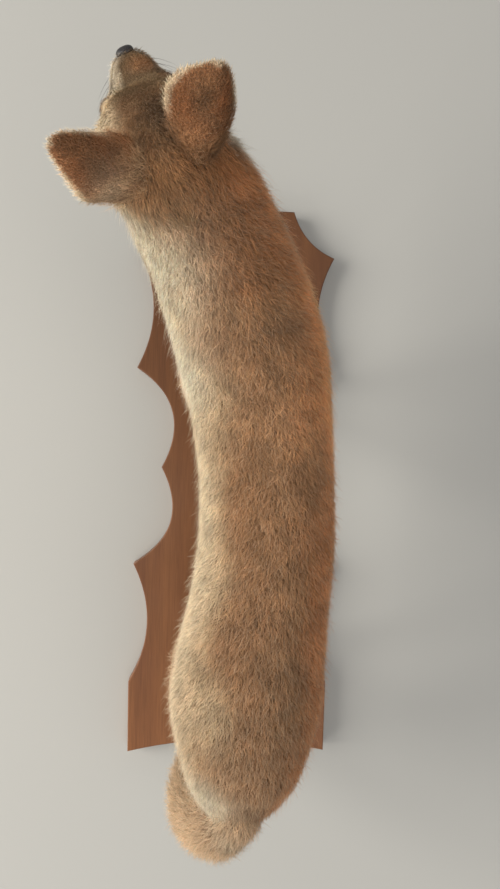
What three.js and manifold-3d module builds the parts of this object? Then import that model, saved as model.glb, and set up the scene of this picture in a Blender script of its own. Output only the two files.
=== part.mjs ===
// A red fox mounted standing on a scalloped wooden board. Millimetres, +Z up.
// The fox faces +Y, its right side is +X, and the origin is the middle of the board's underside.
// Every solid of the animal reaches out to the tips of its coat.

import * as THREE from "three";
import { mergeVertices } from "three/addons/utils/BufferGeometryUtils.js";
import Module from "manifold-3d";

const wasm = await Module();
wasm.setup();

// ---------------------------------------------------------------- driving dimensions
const GAP = 0.3; // air left between neighbouring pieces
const NEARBY = 0.05; // distance along a form, in stations, used to find its direction
const STEPS_PER_STATION = 2; // rings of a form between two of its stations
// Facets round each form.
const AROUND = { head: 18, torso: 18, tail: 14, leg: 10, paw: 10, toe: 6, claw: 4, ear: 14, ball: 12 };

const BOARD_THICKNESS = 22;
const BOARD_EDGE = 1.5; // chamfer round the board's faces
// Half of the board's outline, from its front edge to its rear corner: each point and the depth of
// the hollow arc that leads to it. A depth of 0 is a straight edge.
const BOARD_HALF = [
  { x: 74.5, y: 360, hollow: 0 },
  { x: 130, y: 300, hollow: 10 },
  { x: 129, y: 146, hollow: 20 },
  { x: 94, y: 15, hollow: 31 },
  { x: 128, y: -113, hollow: 31 },
  { x: 131, y: -268, hollow: 21 },
  { x: 130, y: -360, hollow: 0 },
];
const BOARD_REAR_HOLLOW = 15;
const BOARD_ARC_SEGMENTS = 4; // half the number of sides on an arc
const BOARD_BLOCK = { width: 400, length: 900 }; // a plain slab that covers the whole board

// The head's own frame: turned and tilted to the fox's left, nose a little down.
const HEAD_AT = new THREE.Vector3(-83, 277, 404); // middle of the skull
const HEAD_YAW = 19.2; // degrees to the left of +Y
const HEAD_PITCH = 18; // degrees nose down
const HEAD_ROLL = 11; // degrees of lean to the left

const EYE_RADIUS = 8;
const EYE_AT = { side: 22, forward: 44.5, up: 3 };
const NOSE_AT = { forward: 107, up: -12.5 };
const NOSE_SIZE = { side: 8.5, forward: 6, up: 6.5 };
const MOUTH_UP = -21.5; // height of the mouth line in the head's frame
const JAW_BACK = 26; // rear end of the lower jaw, forward of the skull's middle
const JAW_BLOCK = { width: 160, length: 120, height: 80 }; // a block that holds the whole lower jaw

// ---------------------------------------------------------------- body forms
// A form is a list of stations [x, y, z, half width, reach above, reach below] along a smooth line.
// For a leg, above and below are the reaches to the front and to the back.
const TORSO = [
  [0, -290, 320, 12, 12, 14],
  [0, -278, 315, 36, 36, 42],
  [0.5, -259, 309, 51, 54, 62],
  [2, -228, 306, 63, 65, 72],
  [3.5, -188, 305, 71.5, 70, 77],
  [8, -145, 304, 70.5, 71, 71],
  [14.5, -98, 303, 66.5, 70, 71],
  [20, -40, 301, 65, 70, 75],
  [18.5, 20, 300, 64.5, 72, 84],
  [13, 75, 300, 67, 77, 90],
  [5, 120, 303, 70.5, 82, 94],
  [-7, 160, 312, 70, 82, 95],
  [-22, 195, 328, 66.5, 78, 88],
  [-38, 224, 348, 62.5, 68, 78],
  [-54, 247, 367, 61, 61, 68],
  [-67, 265, 386, 55, 54, 60],
  [-76, 277, 399, 42, 42, 44],
];
const NECK_FROM = 11.9; // station where the trunk ends and the neck starts
const NECK_TO = 16;

const HEAD = [
  [0, -55, -8, 10, 10, 10],
  [0, -49, -8, 34, 32, 32],
  [0, -35, -8, 46, 43, 44],
  [0, -14, -9, 53, 47, 47],
  [0, 5, -11, 56, 46, 45],
  [0, 21, -13, 52.5, 42, 39],
  [0, 35, -15, 44.5, 36, 33],
  [0, 48, -16, 40.5, 26, 27.5],
  [0, 60, -16, 33.5, 18, 23.5],
  [0, 75, -16.5, 23.5, 13.5, 20],
  [0, 90, -17, 16.5, 12.5, 17],
  [0, 101, -18, 12.5, 11, 14],
  [0, 107, -18.5, 9, 8.5, 10.5],
  [0, 110, -19, 4, 4, 4],
];

const TAIL = [
  [2, -258, 330, 15, 15, 15],
  [-1, -280, 322, 25, 24, 24],
  [-10, -299, 305, 27.5, 28, 28],
  [-19, -316, 279, 30, 31, 31],
  [-28, -329, 244, 33, 33, 33],
  [-34, -334, 204, 35.5, 35.5, 35.5],
  [-35, -331, 163, 34.5, 34.5, 34.5],
  [-31, -323, 122, 29, 29, 29],
  [-24, -316, 87, 20, 20, 20],
  [-18, -312, 65, 9, 9, 9],
  [-16, -311, 58, 2, 2, 2],
];
const TAIL_JOINT = 4.5; // station that parts the root half of the tail from the tip half
const CUT = 0.012; // a thin cut between two parts of one form, as a share of a station's length

// Legs of the right side, measured from the body's middle line at that leg.
const FORELEG = [
  [34, 110, 322, 14, 26, 30],
  [42, 114, 290, 23, 40, 42],
  [47, 119, 255, 23.5, 38, 40],
  [45, 114, 222, 19.5, 29, 33],
  [42, 109, 196, 16, 22, 26],
  [41, 111, 165, 14.5, 18, 19],
  [40.5, 113, 130, 13, 15.5, 15.5],
  [40, 115, 96, 12.5, 14, 14.5],
  [40, 115, 76, 13, 14.5, 14.5],
  [40, 121, 54, 13, 13.5, 13.5],
  [40, 127, 38, 12, 11, 11],
];
const HINDLEG = [
  [32, -198, 318, 18, 38, 38],
  [40, -192, 292, 28, 58, 54],
  [44, -184, 258, 28, 56, 53],
  [44.5, -174, 228, 24.5, 44, 46],
  [43.5, -183, 200, 19.5, 31, 33],
  [42, -202, 175, 15.5, 21, 23],
  [41, -221, 151, 12.5, 14.5, 16],
  [40.5, -236, 128, 12, 12.5, 15],
  [40, -238, 108, 11.5, 12, 13.5],
  [40, -233, 84, 11.5, 12, 12.5],
  [40, -226, 60, 12, 12, 12.5],
  [40, -219, 40, 12, 11, 11.5],
];
// Station where each leg is parted below the elbow or knee, and each leg's middle line and stagger.
const LEGS = [
  { name: "foreleg_left", form: FORELEG, side: -1, middle: 4, stagger: 9, knee: 4 },
  { name: "foreleg_right", form: FORELEG, side: 1, middle: 4, stagger: -7, knee: 4 },
  { name: "hindleg_left", form: HINDLEG, side: -1, middle: 3.5, stagger: -6, knee: 4 },
  { name: "hindleg_right", form: HINDLEG, side: 1, middle: 3.5, stagger: 10, knee: 4 },
];

// A paw, measured from the leg's last station: pad [y from, y to], half width, height, toes, claws.
const PAW = [
  [0, -20, 31, 9, 9, 10],
  [0, -14, 33, 15, 14, 12],
  [0, 2, 34, 18, 14, 12],
  [0, 18, 32, 18.5, 11, 10],
  [0, 28, 30, 15, 8, 8],
];
const TOES = [
  { x: -14, y: 22, length: 12 },
  { x: -5, y: 29, length: 13 },
  { x: 5, y: 29, length: 13 },
  { x: 14, y: 22, length: 12 },
];
const TOE = { width: 5.6, height: 8, middle: 29 }; // half sizes, and the height of the toe's middle
const CLAW = { radius: 1.5, length: 9, drop: 35, ahead: 1 }; // drop in degrees below level

// Ears: where each is rooted, where its tip is, which way its opening faces, how far its middle line
// bows sideways, and its half widths from root to tip.
const EARS = [
  {
    name: "ear_left",
    root: [-103, 244, 426],
    tip: [-147, 238, 489],
    faces: [-0.82, 0.3, -0.42],
    bow: 3,
    halfWidths: [17, 20, 22, 23, 22.5, 21, 18.5, 15, 10.5, 6],
  },
  {
    name: "ear_right",
    root: [-47, 272, 438],
    tip: [-43, 285, 515],
    faces: [-0.15, 0.98, 0.05],
    bow: 4,
    halfWidths: [17, 20.5, 23, 24.5, 25, 25, 24.5, 22.5, 18, 10],
  },
];
const EAR_CUP = { root: 16, tip: 1.5 }; // depth of the ear's hollow
const EAR_THICKNESS = 4.4;
const EAR_THINNING = 0.35; // share of the thickness lost at the tip

// ---------------------------------------------------------------- building blocks
// A closed geometry as a solid that can be joined and cut.
function solid(geometry) {
  geometry.deleteAttribute("normal");
  geometry.deleteAttribute("uv");
  const merged = mergeVertices(geometry, 1e-3);
  return new wasm.Manifold(
    new wasm.Mesh({
      numProp: 3,
      vertProperties: merged.attributes.position.array,
      triVerts: new Uint32Array(merged.index.array),
    }),
  );
}

// The largest body of a solid, which drops slivers left by a cut.
function largest(manifold) {
  return manifold.decompose().reduce((a, b) => (b.volume() > a.volume() ? b : a));
}

// Uniform Catmull-Rom interpolation of all columns of a table of stations at position s.
function stationAt(rows, s) {
  const last = rows.length - 1;
  const i = Math.min(Math.floor(s), last - 1);
  const t = s - i;
  const [a, b, c, d] = [i - 1, i, i + 1, i + 2].map((k) => rows[Math.min(Math.max(k, 0), last)]);
  return b.map((value, k) => {
    const square = 2 * a[k] - 5 * value + 4 * c[k] - d[k];
    const cube = 3 * (value - c[k]) + d[k] - a[k];
    return value + 0.5 * t * (c[k] - a[k] + t * (square + t * cube));
  });
}

// A form's surface between two positions along it: a sphere's rows become rings round the line.
// Its section is two half ellipses on a common width. Positive grow makes it fatter all round.
function formGeometry(rows, { from = 0, to = rows.length - 1, around, grow = 0 }) {
  const rings = Math.max(4, Math.ceil((to - from) * STEPS_PER_STATION));
  const geometry = new THREE.SphereGeometry(1, around, rings + 2);
  const position = geometry.attributes.position;
  const across = new THREE.Vector3(1, 0, 0);
  const v = new THREE.Vector3();
  for (let i = 0; i < position.count; i++) {
    v.fromBufferAttribute(position, i);
    const row = Math.floor(i / (around + 1)); // 0 and rings + 2 are the closed ends
    const s = from + ((to - from) * (Math.min(Math.max(row, 1), rings + 1) - 1)) / rings;
    const [x, y, z, width, above, below] = stationAt(rows, s);
    const ahead = stationAt(rows, Math.min(s + NEARBY, rows.length - 1));
    const behind = stationAt(rows, Math.max(s - NEARBY, 0));
    const along = new THREE.Vector3().fromArray(ahead).sub(new THREE.Vector3().fromArray(behind)).normalize();
    const side = across.clone().addScaledVector(along, -across.dot(along)).normalize();
    const down = along.clone().cross(side);
    const closed = row === 0 || row === rings + 2;
    const length = Math.hypot(v.x, v.z);
    const [cos, sin] = closed ? [0, 0] : [v.x / length, v.z / length];
    v.set(x, y, z)
      .addScaledVector(side, cos * (width + grow))
      .addScaledVector(down, sin * ((sin > 0 ? below : above) + grow));
    if (grow > 0 && row <= 1) v.addScaledVector(along, -grow);
    if (grow > 0 && row >= rings + 1) v.addScaledVector(along, grow);
    position.setXYZ(i, v.x, v.y, v.z);
  }
  return geometry;
}

// An ellipsoid of given half sizes round a place, with positive grow making it fatter all round.
function ellipsoid(size, at, grow = 0, around = AROUND.ball) {
  const geometry = new THREE.SphereGeometry(1, around, Math.round(around * 0.6));
  geometry.scale(size.side + grow, size.forward + grow, size.up + grow);
  return geometry.translate(at.side, at.forward, at.up);
}

// ---------------------------------------------------------------- head
const headFrame = new THREE.Matrix4()
  .makeTranslation(HEAD_AT)
  .multiply(new THREE.Matrix4().makeRotationZ(THREE.MathUtils.degToRad(HEAD_YAW)))
  .multiply(new THREE.Matrix4().makeRotationX(THREE.MathUtils.degToRad(-HEAD_PITCH)))
  .multiply(new THREE.Matrix4().makeRotationY(THREE.MathUtils.degToRad(-HEAD_ROLL)));

const inHead = (geometry) => solid(geometry.applyMatrix4(headFrame));
const headWhole = (grow) => inHead(formGeometry(HEAD, { around: AROUND.head, grow }));
const eyePlace = (side) => ({ side: side * EYE_AT.side, forward: EYE_AT.forward, up: EYE_AT.up });
const eyeSize = { side: EYE_RADIUS, forward: EYE_RADIUS, up: EYE_RADIUS };
const nosePlace = { side: 0, forward: NOSE_AT.forward, up: NOSE_AT.up };

// Everything of the head below the mouth line and ahead of the jaw's angle, as a block.
function jawBlock(grow) {
  const { width, length, height } = JAW_BLOCK;
  const block = new THREE.BoxGeometry(width + 2 * grow, length + 2 * grow, height + 2 * grow);
  return inHead(block.translate(0, JAW_BACK + length / 2, MOUTH_UP - height / 2));
}

function headNodes() {
  let skull = headWhole(0);
  const nodes = {
    eye_left: inHead(ellipsoid(eyeSize, eyePlace(-1))),
    eye_right: inHead(ellipsoid(eyeSize, eyePlace(1))),
    nose_pad: inHead(ellipsoid(NOSE_SIZE, nosePlace)),
  };
  for (const side of [-1, 1]) skull = skull.subtract(inHead(ellipsoid(eyeSize, eyePlace(side), GAP)));
  skull = skull.subtract(inHead(ellipsoid(NOSE_SIZE, nosePlace, GAP)));
  nodes.lower_jaw = largest(skull.intersect(jawBlock(0)));
  nodes.head = largest(skull.subtract(jawBlock(GAP)));
  return nodes;
}

// ---------------------------------------------------------------- ears
// A cupped leaf: its width follows the table, its back bows away from the opening, and it thins at the rim.
function earSolid({ root, tip, faces, bow, halfWidths }, grow = 0) {
  const foot = new THREE.Vector3(...root);
  const axis = new THREE.Vector3(...tip).sub(foot);
  const length = axis.length();
  axis.normalize();
  const front = new THREE.Vector3(...faces);
  front.addScaledVector(axis, -front.dot(axis)).normalize();
  const across = axis.clone().cross(front);
  const around = AROUND.ear;
  const rows = halfWidths.length + 1;
  const geometry = new THREE.SphereGeometry(1, around, rows);
  const position = geometry.attributes.position;
  const widths = halfWidths.map((w) => [w]);
  const v = new THREE.Vector3();
  for (let i = 0; i < position.count; i++) {
    v.fromBufferAttribute(position, i);
    const row = Math.floor(i / (around + 1));
    const s = row / rows;
    const ring = Math.hypot(v.x, v.z);
    const [a, b] = row === 0 || row === rows ? [0, 0] : [v.x / ring, v.z / ring];
    const [width] = stationAt(widths, s * (widths.length - 1));
    const thickness = (EAR_THICKNESS / 2) * (1 - EAR_THINNING * s) + grow;
    const cup = EAR_CUP.root * (1 - s) + EAR_CUP.tip;
    v.copy(foot)
      .addScaledVector(axis, length * s)
      .addScaledVector(across, a * (width + grow) + bow * Math.sin(Math.PI * s))
      .addScaledVector(front, -cup * (1 - a * a) - b * thickness);
    position.setXYZ(i, v.x, v.y, v.z);
  }
  return solid(geometry);
}

// ---------------------------------------------------------------- legs and paws
// Foot stations follow the stagger in proportion to how far down the leg they are.
function legRows({ form, side, middle, stagger }) {
  const [top, bottom] = [form[0][2], form.at(-1)[2]];
  return form.map(([x, y, z, ...reach]) => [
    middle + side * x,
    y + (stagger * (top - z)) / (top - bottom),
    z,
    ...reach,
  ]);
}

function pawSolid([x, y], grow) {
  let paw = solid(formGeometry(PAW, { around: AROUND.paw, grow }));
  for (const toe of TOES) {
    const size = { side: TOE.width, forward: toe.length, up: TOE.height };
    const place = { side: toe.x, forward: toe.y, up: TOE.middle };
    paw = paw.add(solid(ellipsoid(size, place, grow, AROUND.toe)));
    const claw = new THREE.ConeGeometry(CLAW.radius + grow, CLAW.length, AROUND.claw);
    claw.rotateX(-THREE.MathUtils.degToRad(CLAW.drop));
    paw = paw.add(solid(claw.translate(toe.x, toe.y + toe.length + CLAW.ahead, TOE.middle)));
  }
  return paw.translate([x, y, 0]).subtract(boardBlock(GAP));
}

// The space that the board fills, out past its edges.
function boardBlock(grow) {
  const block = new THREE.BoxGeometry(BOARD_BLOCK.width, BOARD_BLOCK.length, BOARD_THICKNESS + 2 * grow);
  return solid(block.translate(0, 0, BOARD_THICKNESS / 2));
}

function legNodes(leg, trunk) {
  const rows = legRows(leg);
  const foot = rows.at(-1);
  const part = (from, to) => solid(formGeometry(rows, { from, to, around: AROUND.leg }));
  return {
    [`${leg.name}_upper`]: largest(part(0, leg.knee - CUT).subtract(trunk)),
    [`${leg.name}_lower`]: largest(part(leg.knee, rows.length - 1).subtract(pawSolid(foot, GAP))),
    [`${leg.name}_paw`]: largest(pawSolid(foot, 0)),
  };
}

// ---------------------------------------------------------------- board
// Adds to the outline a circular arc that ends at (x, y) and bows into the board by the given depth.
function hollowTo(shape, x, y, depth) {
  const from = shape.currentPoint.clone();
  const to = new THREE.Vector2(x, y);
  if (depth === 0) {
    shape.lineTo(x, y);
    return;
  }
  const half = from.distanceTo(to) / 2;
  const radius = (half * half + depth * depth) / (2 * depth);
  const outward = new THREE.Vector2(from.y - to.y, to.x - from.x).normalize();
  const centre = from.clone().add(to).multiplyScalar(0.5).addScaledVector(outward, radius - depth);
  const angle = (p) => Math.atan2(p.y - centre.y, p.x - centre.x);
  shape.absarc(centre.x, centre.y, radius, angle(from), angle(to), false);
}

function boardSolid() {
  const right = BOARD_HALF;
  const shape = new THREE.Shape();
  shape.moveTo(-right[0].x, right[0].y);
  shape.lineTo(right[0].x, right[0].y);
  for (const corner of right.slice(1)) hollowTo(shape, corner.x, corner.y, corner.hollow);
  const rear = right.at(-1);
  hollowTo(shape, -rear.x, rear.y, BOARD_REAR_HOLLOW);
  for (let i = right.length - 1; i > 0; i--) {
    const { x, y } = right[i - 1];
    hollowTo(shape, -x, y, right[i].hollow);
  }
  const geometry = new THREE.ExtrudeGeometry(shape, {
    depth: BOARD_THICKNESS - 2 * BOARD_EDGE,
    bevelThickness: BOARD_EDGE,
    bevelSize: BOARD_EDGE,
    bevelOffset: -BOARD_EDGE,
    bevelSegments: 1,
    curveSegments: BOARD_ARC_SEGMENTS,
  });
  return solid(geometry.translate(0, 0, BOARD_EDGE));
}

// ---------------------------------------------------------------- whole model
const torso = (from, to, grow = 0) => solid(formGeometry(TORSO, { from, to, around: AROUND.torso, grow }));
const trunkGrown = torso(0, NECK_FROM, GAP);
const solids = { board: boardSolid(), ...headNodes() };
solids.trunk = torso(0, NECK_FROM - CUT);
for (const ear of EARS) solids[ear.name] = largest(earSolid(ear).subtract(headWhole(GAP)));
solids.neck = largest(torso(NECK_FROM, NECK_TO).subtract(headWhole(GAP)));
for (const ear of EARS) solids.neck = largest(solids.neck.subtract(earSolid(ear, GAP)));
const tailPart = (from, to) => solid(formGeometry(TAIL, { from, to, around: AROUND.tail }));
solids.tail_root = largest(tailPart(0, TAIL_JOINT - CUT).subtract(trunkGrown));
solids.tail_tip = tailPart(TAIL_JOINT, TAIL.length - 1);
for (const leg of LEGS) Object.assign(solids, legNodes(leg, trunkGrown));

const COLOURS = {
  board: 0x7a4a30,
  eye: 0x6b4316,
  nose: 0x1d1816,
  ear: 0x80603f,
  lower_jaw: 0xd9c49a,
  paw: 0x5e452f,
  lower: 0x7c5a3c,
  tail_tip: 0xd8c096,
  coat: 0xa97d50,
};

const ROUGHNESS = { glossy: 0.2, dull: 0.85 };

function materialFor(name) {
  const key = Object.keys(COLOURS).find((k) => name.startsWith(k) || name.endsWith(k)) ?? "coat";
  const roughness = key === "eye" || key === "nose" ? ROUGHNESS.glossy : ROUGHNESS.dull;
  return new THREE.MeshStandardMaterial({ color: COLOURS[key], roughness, metalness: 0 });
}

const fox = new THREE.Group();
for (const [name, made] of Object.entries(solids)) {
  const { numProp, vertProperties, triVerts } = made.getMesh();
  const geometry = new THREE.BufferGeometry();
  if (numProp !== 3) throw new Error(`${name} has more than positions`);
  geometry.setAttribute("position", new THREE.BufferAttribute(vertProperties, numProp));
  geometry.setIndex(new THREE.BufferAttribute(triVerts, 1));
  geometry.computeVertexNormals();
  const mesh = new THREE.Mesh(geometry, materialFor(name));
  mesh.name = name;
  fox.add(mesh);
}

export default fox;
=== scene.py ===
# %% [markdown]
# # A red fox, mounted, standing on a scalloped board
# This lesson dresses the solids of a museum fox. The solids reach out to the tips of the coat, so
# the skin is made a coat's depth inside them and a quarter of a million small locks of hair fill
# the space between. Everything is in metres: +Y is the way the fox faces, +X its right, +Z up.

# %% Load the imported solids
import math

import bmesh
import bpy
import numpy as np
from mathutils import Matrix, Vector


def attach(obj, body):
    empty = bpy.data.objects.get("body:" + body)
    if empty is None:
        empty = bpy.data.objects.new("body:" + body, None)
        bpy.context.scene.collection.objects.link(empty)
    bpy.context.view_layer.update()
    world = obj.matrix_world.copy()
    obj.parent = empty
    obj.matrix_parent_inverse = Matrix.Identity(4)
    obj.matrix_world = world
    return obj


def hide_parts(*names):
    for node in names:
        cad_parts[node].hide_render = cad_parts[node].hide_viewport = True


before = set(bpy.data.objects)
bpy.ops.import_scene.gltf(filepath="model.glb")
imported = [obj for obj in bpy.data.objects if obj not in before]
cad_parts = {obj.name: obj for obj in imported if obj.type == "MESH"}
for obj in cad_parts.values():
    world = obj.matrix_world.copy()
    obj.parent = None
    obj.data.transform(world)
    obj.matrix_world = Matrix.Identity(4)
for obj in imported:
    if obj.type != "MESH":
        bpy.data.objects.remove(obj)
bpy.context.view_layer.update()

rng = np.random.default_rng(11)
MM = 0.001  # tables of sizes are in millimetres
SIDES = (("left", -1), ("right", 1))

# %% [markdown]
# ## Helpers for meshes
# A mesh can be typed vertex by vertex, but it is quicker and exact to work out whole arrays with
# numpy and hand them over at once. Each helper below turns arrays of points into a closed mesh.


# %% Put arrays into a mesh
def new_mesh(name, points, quads=(), tris=(), smooth=True):
    """A mesh from an (n, 3) array of points and arrays of four- and three-cornered faces."""
    quads = np.asarray(quads, int).reshape(-1, 4)
    tris = np.asarray(tris, int).reshape(-1, 3)
    corners = np.concatenate([quads.ravel(), tris.ravel()])
    sizes = np.concatenate([np.full(len(quads), 4), np.full(len(tris), 3)])
    starts = np.concatenate([[0], np.cumsum(sizes)[:-1]])
    mesh = bpy.data.meshes.new(name)
    mesh.vertices.add(len(points))
    write_points(mesh, points)
    mesh.loops.add(len(corners))
    mesh.loops.foreach_set("vertex_index", corners.astype(np.int32))
    mesh.polygons.add(len(sizes))
    mesh.polygons.foreach_set("loop_start", starts.astype(np.int32))
    mesh.polygons.foreach_set("use_smooth", np.full(len(sizes), smooth))
    mesh.update(calc_edges=True)
    return mesh


def write_points(mesh, points):
    """Puts an (n, 3) array into the positions of a mesh."""
    mesh.vertices.foreach_set("co", np.ascontiguousarray(points, np.float32).ravel())


def read_array(items, key, kind, width):
    """One property of all the vertices, edges or corners of a mesh, a row for each."""
    values = np.empty(len(items) * width, kind)
    items.foreach_get(key, values)
    return values.reshape(-1, width)


def write_map(mesh, name, places):
    """A UV map from one pair of numbers for each vertex."""
    corners = read_array(mesh.loops, "vertex_index", np.int32, 1)[:, 0]
    layer = mesh.uv_layers.new(name=name)
    layer.data.foreach_set("uv", places[corners].astype(np.float32).ravel())


def link_object(name, data):
    """A new object of some data, linked to the scene."""
    made = bpy.data.objects.new(name, data)
    bpy.context.scene.collection.objects.link(made)
    return made


def new_piece(name, mesh, material, slot, *nodes):
    """An object of the mesh that rides on the one body, with the material, and stands for its nodes; slot is
    not used.
    """
    piece = link_object(name, mesh)
    mesh.materials.append(material)
    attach(piece, "root")
    if nodes:
        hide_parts(*nodes)


def grid_faces(rows, columns):
    """Quads of a grid of points that is stored row by row and closed round its columns."""
    low = columns * np.arange(rows - 1)[:, None]
    left = np.arange(columns)[None]
    right = (left + 1) % columns
    return np.stack([low + left, low + right, low + columns + right, low + columns + left], -1).reshape(-1, 4)


def closed_grid(grid):
    """Points, quads and triangles of a tube of rings (rows, columns, 3) with a point closing each end."""
    rows, columns = grid.shape[:2]
    points = np.concatenate([grid.reshape(-1, 3), grid[0].mean(0)[None], grid[-1].mean(0)[None]])
    start, last = rows * columns, (rows - 1) * columns
    left = np.arange(columns)
    right = (left + 1) % columns
    first_cap = np.stack([right, left, np.full(columns, start)], 1)
    last_cap = np.stack([last + left, last + right, np.full(columns, start + 1)], 1)
    return facing_out(points, grid_faces(rows, columns), np.concatenate([first_cap, last_cap]))


def all_triangles(quads, tris):
    """The triangles, then two triangles for each quad."""
    return np.concatenate([tris, quads[:, [0, 1, 2]], quads[:, [0, 2, 3]]])


def facing_out(points, quads, tris):
    """Turns all faces round when the signed volume, a sum of corner products, comes out negative."""
    a, b, c = (points[corner] - points.mean(0) for corner in all_triangles(quads, tris).T)
    if np.einsum("ij,ij->i", a, np.cross(b, c)).sum() < 0:
        quads, tris = quads[:, ::-1], tris[:, ::-1]
    return points, quads, tris


def join_parts(parts):
    """One set of points, quads and triangles from a list of such sets."""
    points, quads, tris = zip(*parts)
    starts = np.cumsum([0] + [len(p) for p in points])
    return [np.concatenate(points)] + [
        np.concatenate([face + start for face, start in zip(faces, starts)]) for faces in (quads, tris)]


# %% Small formulas
def smoothstep(low, high, x):
    """0 below low, 1 above high, and a smooth cubic between."""
    t = np.clip((x - low) / (high - low), 0, 1)
    return t * t * (3 - 2 * t)


def bell(x, middle, width):
    """A bell curve: 1 at the middle and 0.37 a width away from it."""
    return np.exp(-(((x - middle) / width) ** 2))


def ball(points, middle, radius):
    """The same bell curve of the distance from a point."""
    return np.exp(-((points - np.array(middle)) ** 2).sum(1) / radius**2)


def circle(count):
    """Evenly spaced angles of one full turn."""
    return np.linspace(0, 2 * np.pi, count, endpoint=False)


def dot(a, b):
    """Sum of products along the last axis, which is kept."""
    return (a * b).sum(-1, keepdims=True)


def unit(v):
    """Vectors of length one along the last axis."""
    return v / np.maximum(np.linalg.norm(v, axis=-1, keepdims=True), 1e-12)


def square_to(v, normal):
    """Vectors of length one with the part along the normal taken away."""
    return unit(v - dot(v, normal) * normal)


def ripple(points, size, seed):
    """Smooth noise, mostly from -1 to 1: the mean of twelve sine waves that cross in random directions."""
    waves = np.random.default_rng(seed)
    directions = unit(waves.normal(size=(12, 3))) * (2 * np.pi / size) * waves.uniform(0.6, 1.5, (12, 1))
    return np.sin(points @ directions.T + waves.uniform(0, 2 * np.pi, 12)).mean(1) * 2.4


# %% [markdown]
# ## The fox's forms
# Each form is a smooth line with an oval section that grows and shrinks along it: the trunk with the
# neck, the head, the tail and each leg. A row of a table is one station of the line: x, y, z, half
# width, reach above (or to the front) and reach below (or to the back), at the tips of the coat.

# %% Tables of the forms
TORSO = [
    [0, -290, 320, 12, 12, 14], [0, -278, 315, 36, 36, 42], [0.5, -259, 309, 51, 54, 62],
    [2, -228, 306, 63, 65, 72], [3.5, -188, 305, 71.5, 70, 77], [8, -145, 304, 70.5, 71, 71],
    [14.5, -98, 303, 66.5, 70, 71], [20, -40, 301, 65, 70, 75], [18.5, 20, 300, 64.5, 72, 84],
    [13, 75, 300, 67, 77, 90], [5, 120, 303, 70.5, 82, 94], [-7, 160, 312, 70, 82, 95],
    [-22, 195, 328, 66.5, 78, 88], [-38, 224, 348, 62.5, 68, 78], [-54, 247, 367, 61, 61, 68],
    [-67, 265, 386, 55, 54, 60], [-76, 277, 399, 42, 42, 44],
]
HEAD = [
    [0, -55, -8, 10, 10, 10], [0, -49, -8, 34, 32, 32], [0, -35, -8, 46, 43, 44],
    [0, -14, -9, 53, 47, 47], [0, 5, -11, 56, 46, 45], [0, 21, -13, 52.5, 42, 39],
    [0, 35, -15, 44.5, 36, 33], [0, 48, -16, 41, 28, 27.5], [0, 60, -16, 35, 20.5, 24],
    [0, 75, -16.5, 26, 14.5, 20.5], [0, 90, -17, 20.5, 13, 18], [0, 101, -18, 16.5, 12, 15.5],
    [0, 107, -18.5, 12, 9.5, 12], [0, 110, -19, 6, 5.5, 6.5],
]
TAIL = [
    [2, -258, 330, 15, 15, 15], [-1, -280, 322, 25, 24, 24], [-10, -299, 305, 27.5, 28, 28],
    [-19, -316, 279, 30, 31, 31], [-28, -329, 244, 33, 33, 33], [-34, -334, 204, 35.5, 35.5, 35.5],
    [-35, -331, 163, 34.5, 34.5, 34.5], [-31, -323, 122, 29, 29, 29], [-24, -316, 87, 20, 20, 20],
    [-18, -312, 65, 9, 9, 9], [-16, -311, 58, 2, 2, 2],
]
FORELEG = [
    [34, 110, 322, 14, 26, 30], [42, 114, 290, 23, 40, 42], [47, 119, 255, 23.5, 38, 40],
    [45, 114, 222, 19.5, 29, 33], [42, 109, 196, 16, 22, 26], [41, 111, 165, 14.5, 18, 19],
    [40.5, 113, 130, 13, 15.5, 15.5], [40, 115, 96, 12.5, 14, 14.5], [40, 115, 76, 13, 14.5, 14.5],
    [40, 121, 54, 13, 13.5, 13.5], [40, 127, 38, 12, 11, 11],
]
HINDLEG = [
    [32, -198, 318, 18, 38, 38], [40, -192, 292, 28, 58, 54], [44, -184, 258, 28, 56, 53],
    [44.5, -174, 228, 24.5, 44, 46], [43.5, -183, 200, 19.5, 31, 33], [42, -202, 175, 15.5, 21, 23],
    [41, -221, 151, 12.5, 14.5, 16], [40.5, -236, 128, 12, 12.5, 15], [40, -238, 108, 11.5, 12, 13.5],
    [40, -233, 84, 11.5, 12, 12.5], [40, -226, 60, 12, 12, 12.5], [40, -219, 40, 12, 11, 11.5],
]
PAW = [
    [0, -20, 31, 9, 9, 10], [0, -14, 33, 15, 14, 12], [0, 2, 34, 18, 14, 12], [0, 18, 32, 18.5, 11, 10],
    [0, 28, 30, 15, 8, 8],
]
TOES = [(-14, 22, 12), (-5, 29, 13), (5, 29, 13), (14, 22, 12)]  # side, forward, half length
TOE_HALF_WIDTH, TOE_HALF_HEIGHT, TOE_UP = 5.6, 8, 29
LEGS = [  # name, table, side, middle line, and how far back or forward the foot is set
        ("foreleg_left", FORELEG, -1, 4, 9), ("foreleg_right", FORELEG, 1, 4, -7),
        ("hindleg_left", HINDLEG, -1, 3.5, -6), ("hindleg_right", HINDLEG, 1, 3.5, 10)]
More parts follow.
